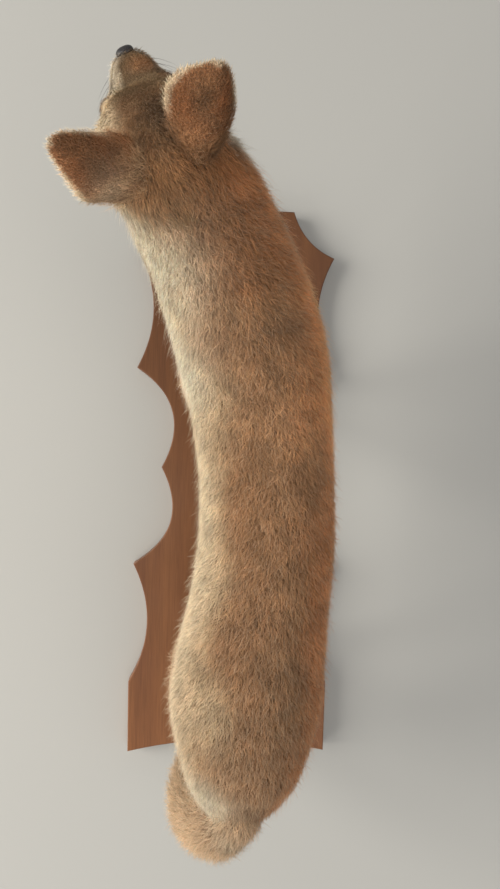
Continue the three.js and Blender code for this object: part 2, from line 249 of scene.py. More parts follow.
# Depth of the coat along each form: station, at the side, above, below.
TORSO_COAT = [
    [0, 8, 8, 8], [3, 10, 9, 10], [8, 9.5, 8.5, 10], [12, 11, 9, 12], [14, 11, 8, 12], [16, 10, 7, 10],
]
HEAD_COAT = [
    [0, 8, 7, 9], [3, 11, 6, 10], [5, 10, 5, 9], [6, 6.5, 4, 7], [7, 4.5, 3.2, 5], [8, 3.2, 2.4, 3.6],
    [9, 2.2, 1.8, 2.6], [10, 1.8, 1.5, 2], [13, 1.4, 1.2, 1.4],
]
TAIL_COAT = [[0, 7, 7, 7], [2, 10, 10, 10], [5, 13, 13, 13], [7, 13, 13, 13], [9, 7, 7, 7], [10, 2, 2, 2]]
LEG_COAT = [[0, 8, 8, 8], [2, 8, 8, 9], [3, 6, 6, 8], [5, 3.5, 3, 4.5], [7, 2.6, 2.4, 3], [11, 2.2, 2, 2.2]]
PAW_COAT = [[0, 1.8, 1.8, 1.5], [4, 1.6, 1.6, 1.2]]
BOARD_TOP = 0.022

# %% [markdown]
# ## Smooth lines through the stations
# Straight lines between stations would show as facets. A Catmull-Rom curve passes through every
# station and keeps its slope there, and it needs nothing but the four nearest stations.

# %% Lines, frames and sections
HEAD_AT = np.array(Vector((-83, 277, 404)) * MM)
yaw, nod, tilt = (Matrix.Rotation(math.radians(degrees), 3, axis)
                  for degrees, axis in ((19.2, "Z"), (-18, "X"), (-11, "Y")))
HEAD_TURN = np.array(yaw @ nod @ tilt)


def in_head(points):
    """Points in the head's own frame: side, forward, up."""
    return (points - HEAD_AT) @ HEAD_TURN


def from_head(points):
    """Points of the head's frame back in the model's frame."""
    return points @ HEAD_TURN.T + HEAD_AT


def along_line(rows, s):
    """Uniform Catmull-Rom: each value is a cubic in the fraction of the way to the next station."""
    rows = np.asarray(rows, float)
    last = len(rows) - 1
    i = np.minimum(np.floor(s).astype(int), last - 1)
    t = (s - i)[:, None]
    a, b, c, d = (rows[np.clip(i + k, 0, last)] for k in (-1, 0, 1, 2))
    return b + 0.5 * t * (c - a + t * (2 * a - 5 * b + 4 * c - d + t * (3 * (b - c) + d - a)))


def make_form(name, rows, coat, lie, span, samples, on_head=False):
    """A form's line as arrays: centres, a frame of three directions and the skin's three reaches.
    lie is 1 where the hair points the way that the table runs and -1 where it points back."""
    last = len(rows) - 1
    s = np.linspace(*span, samples)
    station = along_line(rows, s)
    coat = np.asarray(coat, float)
    depth = np.stack([np.interp(s, coat[:, 0], coat[:, k]) for k in (1, 2, 3)], 1)
    ahead = along_line(rows, np.minimum(s + 0.05, last))[:, :3]
    behind = along_line(rows, np.maximum(s - 0.05, 0))[:, :3]
    along = unit(ahead - behind)
    side = square_to(np.array([1.0, 0, 0]), along)
    down = np.cross(along, side)
    centre = station[:, :3] * MM
    reach = np.maximum(station[:, 3:] - depth, 0.3 * station[:, 3:]) * MM
    if on_head:
        centre = from_head(centre)
        along, side, down = (v @ HEAD_TURN.T for v in (along, side, down))
    return dict(name=name, s=s, centre=centre, along=along, side=side, down=down, reach=reach,
                depth=depth * MM, lie=lie, step=np.linalg.norm(np.diff(centre, axis=0), axis=1).mean())


def form_rings(form, around):
    """Rings of points: centre + side cos(t) width + down sin(t) reach, with sin(t) > 0 below."""
    t = circle(around)[None, :, None]
    width, above, below = (form["reach"][:, k][:, None, None] for k in range(3))
    return (form["centre"][:, None] + form["side"][:, None] * np.cos(t) * width
            + form["down"][:, None] * np.sin(t) * np.where(np.sin(t) > 0, below, above))


def leg_rows(rows, side, middle, stagger):
    """A leg's stations in place: mirrored to its side and shifted by its stagger, in full at the foot."""
    rows = np.array(rows, float)
    top, foot = rows[0, 2], rows[-1, 2]
    rows[:, 1] += stagger * (top - rows[:, 2]) / (top - foot)
    rows[:, 0] = middle + side * rows[:, 0]
    return rows


forms = [make_form("torso", TORSO, TORSO_COAT, -1, (0.55, 16), 90),
         make_form("head", HEAD, HEAD_COAT, -1, (0.4, 12.6), 70, on_head=True),
         make_form("tail", TAIL, TAIL_COAT, 1, (0, 9.3), 60)]
feet = {}
for name, rows, side, middle, stagger in LEGS:
    placed = leg_rows(rows, side, middle, stagger)
    paw = np.array(PAW, float) + [*placed[-1, :2], 0, 0, 0, 0]
    forms.append(make_form(name, placed, LEG_COAT, 1, (0, len(placed) - 1), 60))
    forms.append(make_form(name + "_paw", paw, PAW_COAT, 1, (0, len(paw) - 1), 20))
    feet[name] = placed[-1, :2] * MM
print("forms:", [form["name"] for form in forms])

# %% [markdown]
# ## One skin
# On the real mount a single hide is drawn over the whole form, so no joint shows between neck and
# trunk or thigh and belly. The lofts overlap, so a voxel remesh first melts them into one closed
# surface, and a few rounds of averaging with the neighbours then fill the creases, most on the body
# and least on the small feet.

# %% Melt the forms into one surface
VOXEL = 0.0033


def toe_rings(foot):
    """Four ellipsoids for the toes of one foot, each as rings along its length."""
    u, t = np.linspace(0.04, np.pi - 0.04, 9)[:, None], circle(16)[None]
    for x, y, half in TOES:
        yield closed_grid(np.stack([
            (x + TOE_HALF_WIDTH * 0.95 * np.sin(u) * np.cos(t)) * MM + foot[0],
            (y - half * np.cos(u) * np.ones_like(t)) * MM + foot[1],
            (TOE_UP + TOE_HALF_HEIGHT * 0.85 * np.sin(u) * np.sin(t)) * MM], -1))


def melted(parts):
    """One closed mesh round a list of overlapping closed ones."""
    rough = link_object("rough_skin", new_mesh("rough_skin", *join_parts(parts)))
    remesh = rough.modifiers.new("remesh", "REMESH")
    remesh.mode, remesh.voxel_size, remesh.use_smooth_shade = "VOXEL", VOXEL, True
    seen = rough.evaluated_get(bpy.context.evaluated_depsgraph_get())
    mesh = bpy.data.meshes.new_from_object(seen)
    bpy.data.objects.remove(rough)
    return mesh


body_mesh = melted([closed_grid(form_rings(form, 48)) for form in forms]
                   + [toe for foot in feet.values() for toe in toe_rings(foot)])
print("melted surface:", len(body_mesh.vertices), "points")


# %% Average the surface with its neighbours
def points_and_edges(mesh):
    """Vertex positions and pairs of vertex numbers of a mesh as two arrays."""
    points = read_array(mesh.vertices, "co", np.float32, 3).astype(float)
    return points, read_array(mesh.edges, "vertices", np.int32, 2)


def relax(values, edges, strength, rounds):
    """Moves each row a share of the way to the mean of the rows at the far ends of its edges."""
    ends, others = np.concatenate([edges, edges[:, ::-1]]).T
    number = np.maximum(np.bincount(ends, minlength=len(values)), 1)
    for _ in range(rounds):
        total = np.stack([np.bincount(ends, column[others], len(values)) for column in values.T], 1)
        values = values + strength[:, None] * (total / number[:, None] - values)
    return values


def above_legs(points):
    """True for points higher than the legs, where the head's frame can be used."""
    return points[:, 2] > 0.3


points, edges = points_and_edges(body_mesh)
face = smoothstep(0.012, 0.03, in_head(points)[:, 1]) * above_legs(points)
strength = 0.5 * smoothstep(0.05, 0.2, points[:, 2]) * (1 - 0.75 * face) + 0.035
points = relax(points, edges, strength, 16)
print("relaxed, lowest point", round(points[:, 2].min() / MM, 1), "mm")

# %% [markdown]
# ## A finer mesh on the face and feet
# Lids and lips are about a millimetre thick, finer than the body's mesh. Making the whole skin that
# fine would cost a million faces, so only the face is subdivided twice and the feet once.

# %% Subdivide the face and the feet
write_points(body_mesh, points)
bm = bmesh.new()
bm.from_mesh(body_mesh)
for face_from, feet_below in ((0.020, 0.058), (0.026, 0)):
    bm.verts.ensure_lookup_table()
    places = np.array([v.co[:] for v in bm.verts])
    side, forward, up = in_head(places).T
    fine = (forward > face_from) & (np.abs(side) < 0.05) & (np.abs(up) < 0.06) | (places[:, 2] < feet_below)
    chosen = [e for e in bm.edges if fine[e.verts[0].index] and fine[e.verts[1].index]]
    bmesh.ops.subdivide_edges(bm, edges=chosen, cuts=1, use_grid_fill=True, smooth=0.6)
bmesh.ops.triangulate(bm, faces=[f for f in bm.faces if len(f.verts) > 4])
bm.to_mesh(body_mesh)
bm.free()
points, edges = points_and_edges(body_mesh)
points = relax(points, edges, 0.5 * smoothstep(0.014, 0.03, in_head(points)[:, 1]) * above_legs(points), 8)
print("with a fine face:", len(points), "points")

# %% [markdown]
# ## Eyes, lids, lips and brows
# A fox's eye is an amber ball deep in the head, seen through an almond-shaped opening that slants
# down towards the nose. The lids lie on the ball like a second, slightly larger ball with a slit cut
# in it, so the skin near each eye is drawn onto that larger ball and pushed behind the eye inside
# the slit. Lips and the groove under the nose are shallow furrows pressed into the skin.

# %% The eyes' places
EYE_RADIUS = 0.008
EYE_AT = np.array([24, 44.5, 1.2]) * MM  # side, forward, up in the head's frame
EYE_GAZE = unit(np.array([0.70, 0.69, 0.14]))
EYE_SLANT = np.array([0.62, -0.66, 0.42])  # from the inner corner to the outer one
OPEN_HALF_WIDTH, OPEN_HALF_HEIGHT = 0.0068, 0.0040
LID_THICKNESS = 0.0011


def eye_frame(side):
    """Centre, gaze, long axis and short axis of one eye in the head's frame."""
    mirror = np.array([side, 1, 1])
    gaze = EYE_GAZE * mirror
    long_axis = square_to(EYE_SLANT * mirror, gaze)
    short_axis = np.cross(gaze, long_axis) * -side
    return EYE_AT * mirror, gaze, long_axis, short_axis


def slit_measure(where, side):
    """A parabola-sided almond: 1 on the edge of the eye's opening, less inside it and more outside.
    Also the distance and direction from the eye's centre, and the height on the eyeball."""
    centre, gaze, long_axis, short_axis = eye_frame(side)
    offset = where - centre
    distance = np.linalg.norm(offset, axis=1)
    ray = offset / distance[:, None]
    a, b = ray @ long_axis * EYE_RADIUS, ray @ short_axis * EYE_RADIUS
    measure = np.abs(b) / OPEN_HALF_HEIGHT + (a / OPEN_HALF_WIDTH) ** 2
    return np.where((ray @ gaze > 0.1) & (distance < 0.0145), measure, 99.0), distance, ray, b


# %% Press the features into the face
def lip_distance(local):
    """Height above the line where the lips meet: level near the nose and rising to the jaw's corner."""
    forward = local[:, 1]
    sag = 0.0015 * np.sin(np.pi * smoothstep(0.04, 0.1, forward))
    return local[:, 2] - (-0.0225 - sag + 0.006 * smoothstep(0.055, 0.036, forward))


def press_eye(local, side):
    """Raises brow, cheekbone and whisker pad, lays the lids on the eyeball and opens the slit."""
    brow = ball(local, [side * 0.021, 0.042, 0.011], 0.008)
    cheekbone = ball(local, [side * 0.032, 0.034, -0.012], 0.009)
    pad = ball(local, [side * 0.011, 0.090, -0.019], 0.008)
    local[:, 2] += 0.0024 * brow
    local[:, 0] += side * (0.0012 * cheekbone + 0.0008 * pad + 0.0012 * brow)
    measure, distance, ray, height = slit_measure(local, side)
    near = (1 - smoothstep(2.3, 5.5, measure)) * (1 - smoothstep(0.014, 0.02, distance))
    lid = EYE_RADIUS + LID_THICKNESS + 0.0004 * (height > 0)
    target = np.where(measure < 1.0, EYE_RADIUS - 0.0022, lid)
    moved = distance + np.where(measure < 1.0, 1.0, near) * (target - distance)
    return eye_frame(side)[0] + ray * moved[:, None]


def press_features(local):
    """Moves points of the head's frame: eyes and their surroundings, stop, lips and philtrum."""
    local = press_eye(press_eye(local.copy(), -1), 1)
    stop = np.exp(-(local[:, 0] / 0.006) ** 2 - ((local[:, 1] - 0.052) / 0.012) ** 2) * (local[:, 2] > -0.01)
    local[:, 2] -= 0.0008 * stop
    furrow = bell(lip_distance(local), 0, 0.0009) * smoothstep(0.038, 0.046, local[:, 1])
    local[:, 0] -= np.sign(local[:, 0]) * 0.0012 * furrow * smoothstep(0.001, 0.004, np.abs(local[:, 0]))
    local[:, 1] -= 0.0012 * furrow * smoothstep(0.098, 0.106, local[:, 1])
    philtrum = bell(local[:, 0], 0, 0.0008) * smoothstep(0.1, 0.106, local[:, 1])
    local[:, 1] -= 0.0012 * philtrum * (local[:, 2] > -0.0215) * (local[:, 2] < -0.015)
    return local


def press_toes(points, foot):
    """Three grooves between the toes of one foot, pressed back and a little down."""
    x, y = (points[:, :2] - foot).T
    near = (np.abs(x) < 0.03) & (y > 0.006) & (y < 0.05) & (points[:, 2] < 0.05)
    between = sum(bell(x, groove, 0.0013) for groove in (-0.0095, 0.0, 0.0095))
    press = 0.0022 * between * near * smoothstep(0.012, 0.022, y)
    points[:, 1] -= press
    points[:, 2] -= 0.8 * press * smoothstep(0.028, 0.034, points[:, 2])


local = in_head(points)
on_face = (local[:, 1] > 0.018) & above_legs(points)
points[on_face] = from_head(press_features(local[on_face]))
points = relax(points, edges, 0.12 * (on_face & (local[:, 1] > 0.03)), 2)
for foot in feet.values():
    press_toes(points, foot)
points[:, 2] = np.maximum(points[:, 2], BOARD_TOP + 0.0004)
write_points(body_mesh, points)
body_mesh.update()
print("features pressed on", int(on_face.sum()), "points")

# %% [markdown]
# ## Ears
# A fox's ear is a thin, tall, cupped leaf, black-brown behind and pale inside. Remeshing would eat
# anything so thin, so each ear is worked out directly: a flattened tube whose middle line follows
# the ear, whose width follows a table, and whose back bows away from the opening. Its root widens
# and runs on into the skull.

# %% Cupped ears
EARS = {  # root, tip, way it faces, sideways bow, half widths from root to tip on each side
    "left": ((-103, 244, 426), (-146, 239, 487), (-0.82, 0.3, -0.42), 3,
             [22, 25.5, 27, 26.5, 24, 21.5, 19, 15.5, 11, 6],
             [23, 24, 24, 25.5, 26, 22.5, 18.5, 14, 9.5, 5.5]),
    "right": ((-47, 272, 438), (-36, 285, 512), (-0.15, 0.98, 0.05), 1,
              [16, 19.5, 20.5, 20.5, 19.5, 18, 15.5, 12.5, 9, 4],
              [14.5, 18.5, 24.5, 29, 31.5, 32.5, 33, 30, 23, 9]),
}
EAR_ROWS, EAR_COLUMNS = 46, 56
EAR_SUNK = 0.2  # share of the length that runs on into the skull
EAR_INSET = 0.0016  # depth of the coat along the ear's edge
EAR_INTO_SKULL = from_head(np.array([[0, -0.022, -0.004]]))[0]  # the point that the sunk roots lean to


def ear_frame(side):
    """Foot, length and the three directions of an ear: root to tip, across, and out of its opening."""
    root, tip, faces, bow, *widths = EARS[side]
    foot, axis = np.array(root) * MM, (np.array(tip, float) - root) * MM
    length = np.linalg.norm(axis)
    axis = axis / length
    front = square_to(np.array(faces), axis)
    return foot, length, axis, np.cross(axis, front), front, bow * MM, np.array(widths) * MM


def ear_grid(side):
    """At share s of the length: foot + axis L s + across (a w(s) + bow sin(pi s)) - front (cup (1 - a^2)
    + b thickness / 2), with a and b round a flattened ring and a width of its own on each side.
    Returns the points, and s, a and b of each of them."""
    foot, length, axis, across, front, bow, widths = ear_frame(side)
    s = np.linspace(-EAR_SUNK, 0.985, EAR_ROWS)[:, None]
    t = circle(EAR_COLUMNS)[None]
    a, b = np.sin(t), np.sign(np.cos(t)) * np.abs(np.cos(t)) ** 0.55
    inside = np.clip(s, 0, 1)
    low, high = (along_line(w[:, None], (inside * (len(w) - 1)).ravel()) for w in widths)
    rounded_tip = np.sqrt(np.clip((1.02 - inside) / 0.1, 0.02, 1))
    sunk = np.clip(-s, 0, 1) / EAR_SUNK
    width = (np.where(a > 0, high, low) * rounded_tip - EAR_INSET) * (1 - 0.35 * sunk)
    fold = 0.0014 * bell(a, -0.62, 0.1) * bell(inside, 0.22, 0.13)
    thickness = 0.0024 * (1 - 0.4 * inside) + 2 * fold
    cup = 0.018 * (1 - inside) ** 0.75 + 0.002
    grid = (foot + axis * (length * s)[..., None]
            + across * (a * width + bow * np.sin(np.pi * inside))[..., None]
            - front * (cup * (1 - a**2) + b * thickness / 2)[..., None])
    grid = grid + unit(EAR_INTO_SKULL - foot) * (0.013 * smoothstep(0.42, -EAR_SUNK, s))[..., None]
    return grid, np.stack(np.broadcast_arrays(s, a, b), -1)


bm = bmesh.new()
bm.from_mesh(body_mesh)
bmesh.ops.triangulate(bm, faces=bm.faces[:])
body_tris = np.array([[v.index for v in f.verts] for f in bm.faces])
bm.free()
skin_parts = [(points_and_edges(body_mesh)[0], np.zeros((0, 4), int), body_tris)]
ears = {}  # which rows of the skin's points belong to an ear, and their s, a and b
for side in EARS:
    grid, marks = ear_grid(side)
    first = sum(len(part[0]) for part in skin_parts)
    marks = np.concatenate([marks.reshape(-1, 3), [(-EAR_SUNK, 0, 0), (1, 0, 0)]])
    ears[side] = (slice(first, first + len(marks)), marks)
    skin_parts.append(closed_grid(grid))
skin_points, skin_quads, skin_tris = join_parts(skin_parts)
all_tris = all_triangles(skin_quads, skin_tris)
print("skin with ears:", len(skin_points), "points,", len(all_tris), "triangles")

# %% [markdown]
# ## Which way the hair lies
# A fox's coat runs from the nose back over the head and trunk, down the legs and along the tail.
# Every point of the skin is measured against the lines of the forms: how far along, how far round
# and how close. Close forms share in its direction, so the lie turns smoothly from flank to thigh.


# %% Measure every point against the forms
def face_products(points, tris):
    """Cross product of two sides of each triangle: square to it, and twice its area long."""
    return np.cross(points[tris[:, 1]] - points[tris[:, 0]], points[tris[:, 2]] - points[tris[:, 0]])


def vertex_normals(points, tris):
    """Sum of the cross products of the faces round each point, made length one."""
    products = face_products(points, tris)
    total = np.zeros_like(points)
    for corner in tris.T:
        for axis in range(3):
            total[:, axis] += np.bincount(corner, products[:, axis], len(points))
    return unit(total)


def measure_form(form, points):
    """For each point: its nearest place on the line, its closeness, which is 1 on the surface and
    grows away from the line, and its angle round the line."""
    centre = form["centre"]
    square = (points**2).sum(1)[:, None] + (centre**2).sum(1)[None] - 2 * points @ centre.T
    i = square.argmin(1)
    x, y, z = ((points - centre[i]) * form[way][i] for way in ("side", "down", "along"))
    x, y, z = x.sum(1), y.sum(1), z.sum(1)
    width, above, below = form["reach"][i].T
    flat = np.sqrt((x / width) ** 2 + (y / np.where(y > 0, below, above)) ** 2)
    close = np.sqrt(flat**2 + (np.maximum(np.abs(z) - form["step"], 0) / width) ** 2)
    return i, close, np.arctan2(y, x)


TORSO_FORM, HEAD_FORM, TAIL_FORM, FIRST_LEG = 0, 1, 2, 3  # places in the list of forms
skin_normals = vertex_normals(skin_points, all_tris)
nearest, closeness, angles = (
    np.stack(column, 1) for column in zip(*[measure_form(form, skin_points) for form in forms]))
best = closeness.argmin(1)
share = np.exp(-(closeness - closeness.min(1, keepdims=True)) / 0.16)
share /= share.sum(1, keepdims=True)
local = in_head(skin_points)
skull = smoothstep(-0.046, -0.026, local[:, 1]) * smoothstep(-0.045, -0.03, local[:, 2])
share = share * (1 - skull[:, None]) + skull[:, None] * (np.arange(len(forms)) == HEAD_FORM)

lie = np.zeros_like(skin_points)
depth = np.zeros(len(skin_points))
for f, form in enumerate(forms):
    i, angle = nearest[:, f], angles[:, f]
    side_share = np.cos(angle) ** 2
    side_depth, above_depth, below_depth = form["depth"][i].T
    upright = np.where(angle > 0, below_depth, above_depth)
    depth += share[:, f] * (side_share * side_depth + (1 - side_share) * upright)
    lie += share[:, f, None] * form["lie"] * form["along"][i]
on_ear = np.zeros(len(skin_points), bool)
for side, (rows, marks) in ears.items():
    on_ear[rows] = True
    lie[rows] = ear_frame(side)[2]
    depth[rows] = 0.002 + 0.003 * smoothstep(0.35, 0.0, marks[:, 0])
head_share = share[:, HEAD_FORM]
outward = smoothstep(0.002, 0.02, np.abs(local[:, 0])) * smoothstep(0.045, 0.015, local[:, 1])
outward = outward * smoothstep(-0.005, 0.012, local[:, 2])
lie += (head_share * ~on_ear * outward * 0.7 * np.sign(local[:, 0]))[:, None] * HEAD_TURN[:, 0]
lie[:, 2] -= 0.28 * share[:, TORSO_FORM] * np.abs(np.cos(angles[:, TORSO_FORM]))  # flank hair hangs a little
lie = square_to(lie, skin_normals)
skin_edges = np.concatenate([all_tris[:, [k, (k + 1) % 3]] for k in range(3)])
skin_edges = np.unique(np.sort(skin_edges, axis=1), axis=0)
half_way = np.full(len(lie), 0.5)
for _ in range(25):
    lie = square_to(relax(lie, skin_edges, half_way, 1), skin_normals)
ear_feet = sum(ball(skin_points, ear_frame(side)[0], 0.024) for side in EARS) * ~on_ear
depth = depth + 0.003 * ear_feet + 0.0012 * head_share * smoothstep(0.045, 0.06, local[:, 1]) * ~on_ear
print("measured against", len(forms), "forms; mean coat depth", round(depth.mean() / MM, 1), "mm")

# %% [markdown]
# ## Markings
# Skin and hair carry the same colours, so no pale skin shows between the locks. Each form has a base colour
# and a list of paints laid over it: golden-brown along the back, buff and cream on the flanks and throat,
# brown behind the ears, black-brown on the stockings, and a pale tail tip. Some paints are painted light and
# shade. The left side, which faces the main light, is partly painted paler, with painted highlights on the
# lit neck and rump. The shaded right side is partly painted more rufous on the trunk and greyer on the tail,
# with a painted glow on the shoulder. The right ear's foot and a crease by the left ear carry painted shade,
# and the stop carries painted light.

# %% Colours of the coat
GOLD, UMBER, RUFOUS = (0.445, 0.235, 0.110), (0.225, 0.117, 0.058), (0.72, 0.29, 0.108)
BUFF, CREAM, WHITE = (0.62, 0.445, 0.265), (0.80, 0.64, 0.44), (0.84, 0.74, 0.60)
# The palest cream of this row is only used for painted highlights where the main light falls.
WARM_WHITE, PALE_HIGHLIGHT, PALE_BAND = (0.94, 0.81, 0.61), (0.94, 0.81, 0.60), (0.76, 0.63, 0.46)
LEG_RUST, RUST, NECK_RUST = (0.46, 0.215, 0.095), (0.42, 0.155, 0.055), (0.37, 0.160, 0.060)
# The dark brown of the ear's root in this row is only used for painted shade at the right ear's foot.
INNER_EAR, EAR_FOOT_SHADE, LIP_SKIN = (0.20, 0.115, 0.085), (0.17, 0.08, 0.034), (0.02, 0.013, 0.011)
BLACK_BROWN, SANDY, GREY_BROWN = (0.06, 0.036, 0.023), (0.62, 0.42, 0.255), (0.31, 0.22, 0.135)
TAN, CROWN, NAPE = (0.23, 0.150, 0.078), (0.28, 0.155, 0.074), (0.52, 0.265, 0.115)
EAR_BROWN = np.array(GOLD) * (0.60, 0.55, 0.52)
PAW_BROWN = np.array(BLACK_BROWN) * 1.2
LIGHTER = None  # in a layer, the place of a paint: the layer makes what is below it lighter or darker


def layered(base, count, layers):
    """A base colour with paints laid over it in turn, each mixed in by its own share at each point."""
    colour = np.broadcast_to(np.array(base), (count, 3))
    for paint, share in layers:
        if paint is LIGHTER:
            colour = colour * (1 + share)[:, None]
        else:
            colour = colour + np.clip(share, 0, 1)[:, None] * (np.array(paint) - colour)
    return colour


def spots(points, *places):
    """The largest of a few bell curves; each place is x, y, z and a radius in millimetres."""
    return np.maximum.reduce([ball(points, np.array(p[:3]) * MM, p[3] * MM) for p in places])


def body_colours(points, angle, along):
    """Trunk and neck by height round the body: gold above, buff and cream below, warmer on the right. The
    left side, which faces the main light, is paler partly as painted light, with painted highlights on the
    lit left neck and rump. The right side is more rufous partly as painted shade, with a painted glow along
    the right shoulder.
    """
    up = -np.sin(angle) + 0.12 * ripple(points, 0.09, 3)
    right = smoothstep(-0.35, 0.35, np.cos(angle))
    left = 1 - right
    throat = smoothstep(10.5, 13.5, along)
    rim_glow_band = smoothstep(7.5, 9.0, along) * smoothstep(12.2, 11.4, along)
    neck_rust = smoothstep(11.6, 12.6, along) * smoothstep(0.3, 0.75, right) * smoothstep(0.4, 0.85, up)
    return layered(GOLD, len(points), [
        (UMBER, 0.30 * smoothstep(0.55, 0.95, up) * (0.6 + 0.4 * ripple(points, 0.05, 5))),
        (LIGHTER, -0.10 * smoothstep(9, 4, along)),
        # Rufous on the right side: partly the coat's colour, partly painted shade of the side away from the
        # main light.
        (RUFOUS, 0.75 * right * smoothstep(0.95, 0.55, up)),
        # The paints below that carry the left share are partly pale fur and partly painted light of the side
        # facing the main light.
        (BUFF, left * 0.9 * smoothstep(0.98, 0.72, up)),
        (BUFF, right * 0.7 * smoothstep(0.0, -0.6, up)),
        (CREAM, left * smoothstep(0.88, 0.45, up)),
        (WARM_WHITE, smoothstep(9.0, 10.5, along) * left * smoothstep(0.80, 0.50, up)),
        (CREAM, smoothstep(-0.35, -0.85, up)),
        (CREAM, throat * left * smoothstep(0.85, 0.4, up)),
        (LIGHTER, 0.30 * smoothstep(11.5, 13.5, along) * smoothstep(-0.3, 0.2, up) * left),
        (NECK_RUST, 0.75 * neck_rust),
        (WHITE, throat * smoothstep(-0.25, -0.65, up)),
        (UMBER, 0.3 * smoothstep(0.2, 0.7, up) * bell(along, 11.0, 0.4)),
        # Warm white and the palest cream in spots on the left shoulder, neck and rump: painted highlights
        # where the main light falls, over pale fur.
        (WARM_WHITE, spots(points, (-62, 122, 330, 36), (-88, 203, 375, 36))),
        (WARM_WHITE, spots(points, (-36, -258, 333, 25), (-30, -275, 322, 26))),
        (PALE_HIGHLIGHT, 0.8 * spots(points, (-70, 188, 378, 27), (-64, 164, 372, 24))),
        (PALE_HIGHLIGHT, spots(points, (-27, -251, 342, 14), (-20, -256, 343, 10))),
        (UMBER, 0.5 * spots(points, (76, 116, 300, 12))),
        # A painted glow of light along the shaded right shoulder and neck.
        (LIGHTER, 0.45 * right * rim_glow_band * smoothstep(1.0, 0.8, up)),
        (LIGHTER, -0.12 * smoothstep(8, 3, along))])


def eye_layers(local, side):
    """Dark skin round one eye, weaker and smaller round the left eye as painted light of the side facing the
    main light, black at the lids' edge, and a buff spot above it.
    """
    measure = slit_measure(local, side)[0]
    # Weaker and smaller round the left eye: painted light of the side facing the main light.
    return [(UMBER, (0.7 + 0.1 * side) * smoothstep(2.6 + 0.4 * side, 1.7 + 0.1 * side, measure)),
            (BLACK_BROWN, smoothstep(1.75, 1.35, measure)),
            (BUFF, 0.55 * ball(local, [side * 0.018, 0.043, 0.016], 0.006))]


def head_colours(local, points):
    """The head by its own coordinates: brown crown, tan muzzle, white cheeks and chin, dark brow and tear
    lines. The left side, which faces the main light, is paler partly as painted light. Buff at the stop is
    painted light against its shade, and a dark spot by the left ear's foot is painted shade in the crease."""
    x, y, z = local.T / MM
    crown = smoothstep(46, 26, y) * smoothstep(-12, 4, z)
    line = np.interp(y, [-40, 0, 30, 45, 60, 80, 105], [-14, -10, -7, -8, -12, -14, -15])
    # The white line rides higher on the left: partly pale fur, partly painted light of the side facing the
    # main light.
    line = line + 1.5 * ripple(local, 0.02, 8) + 5 * (x < 0)
    cheek = np.where(x > 0, smoothstep(-20, 4, y), smoothstep(-52, -25, y))
    white = smoothstep(line + 4, line - 4, z) * cheek
    behind_eye = smoothstep(24, 36, -x) * smoothstep(20, 6, z) * smoothstep(62, 40, y) * smoothstep(-40, 5, y)
    dark = spots(points, (-84, 294, 431, 13), (-76, 286, 435, 12), (-64, 276, 440, 12))
    # This spot by the left ear's foot is painted shade in the crease there.
    dark = np.maximum(dark, 0.7 * spots(points, (-104, 261, 425, 7)))
    tear = bell(z + 9, 0.10 * (70 - y), 3.6) * smoothstep(46, 56, y) * smoothstep(92, 78, y) * (np.abs(x) > 8)
    lips = np.abs(lip_distance(local)) / MM
    return layered(TAN, len(points), [
        (CROWN, crown),
        (BUFF, 0.4 * crown * smoothstep(0.2, 1.0, ripple(local, 0.010, 9))),
        (UMBER, 0.6 * crown * smoothstep(0.0, 0.9, ripple(local, 0.016, 10))),
        (NAPE, 0.9 * smoothstep(-22, -42, y) * smoothstep(-15, 5, z)),
        (NECK_RUST, 0.75 * smoothstep(4, 24, x) * smoothstep(-22, -40, y)),
        (RUFOUS, 0.45 * smoothstep(28, 44, np.abs(x)) * (1 - white) * (x > 0)),
        # Cream and warm white over the left cheek and muzzle edge: partly pale fur, partly painted light of
        # the lit left side.
        (CREAM, 0.95 * smoothstep(11, 22, -x) * smoothstep(66, 50, y) * smoothstep(-24, 4, y)),
        (GOLD, 0.3 * behind_eye),
        (WARM_WHITE, 0.85 * smoothstep(6, 12, -x) * smoothstep(48, 60, y)),
        (RUFOUS, 0.45 * spots(points, (-97, 354, 370, 11))),
        (UMBER, 0.45 * spots(points, (-96, 350, 376, 7))),
        # Buff at the stop: painted light against the shade there.
        (BUFF, 0.3 * spots(points, (-96, 335, 388, 9), (-83, 333, 387, 9))),
        (BLACK_BROWN, 0.55 * dark * (1 + 0.4 * ripple(local, 0.008, 11))),
        # Cream spots on the left neck below the ear: partly pale fur, partly painted light.
        (CREAM, spots(points, (-97, 226, 400, 18), (-108, 236, 412, 13))),
        (WHITE, 0.9 * white),
        (BLACK_BROWN, 0.45 * tear),
        *eye_layers(local, -1),
        *eye_layers(local, 1),
        (LIP_SKIN, smoothstep(2.0, 1.0, lips) * smoothstep(40, 46, y)),
        (LIP_SKIN, smoothstep(105, 107, y) * smoothstep(10, 8, np.hypot(x, z + 13)))])


def tail_colours(points, angle, along):
    """Sandy, greyer on the right as painted shade of the side away from the main light, with a dark patch
    near the root and a white tip.
    """
    return layered(SANDY, len(points), [
        # Grey-brown on the right side: painted shade of the side away from the main light, with a random
        # mottle.
        (GREY_BROWN, 0.5 * smoothstep(-0.5, 1.0, np.cos(angle)) + 0.15 * ripple(points, 0.03, 21)),
        (UMBER, 0.45 * bell(along, 1.6, 0.7)),
        (WHITE, smoothstep(7.0, 7.8, along + 0.3 * ripple(points, 0.03, 22)))])


def leg_colours(points, angle, down_leg):
    """A leg by the share of the way down it: gold at the top, then rust, then a black-brown stocking."""
    front = -np.sin(angle)  # the table runs downwards, so its upper side is the front
    edge = down_leg + 0.05 * front + 0.03 * ripple(points, 0.03, 12)
    return layered(LEG_RUST, len(points), [
        (GOLD, 0.7 * smoothstep(0.35, 0.0, down_leg)),
        (BLACK_BROWN, 0.92 * smoothstep(0.42, 0.62, edge))])


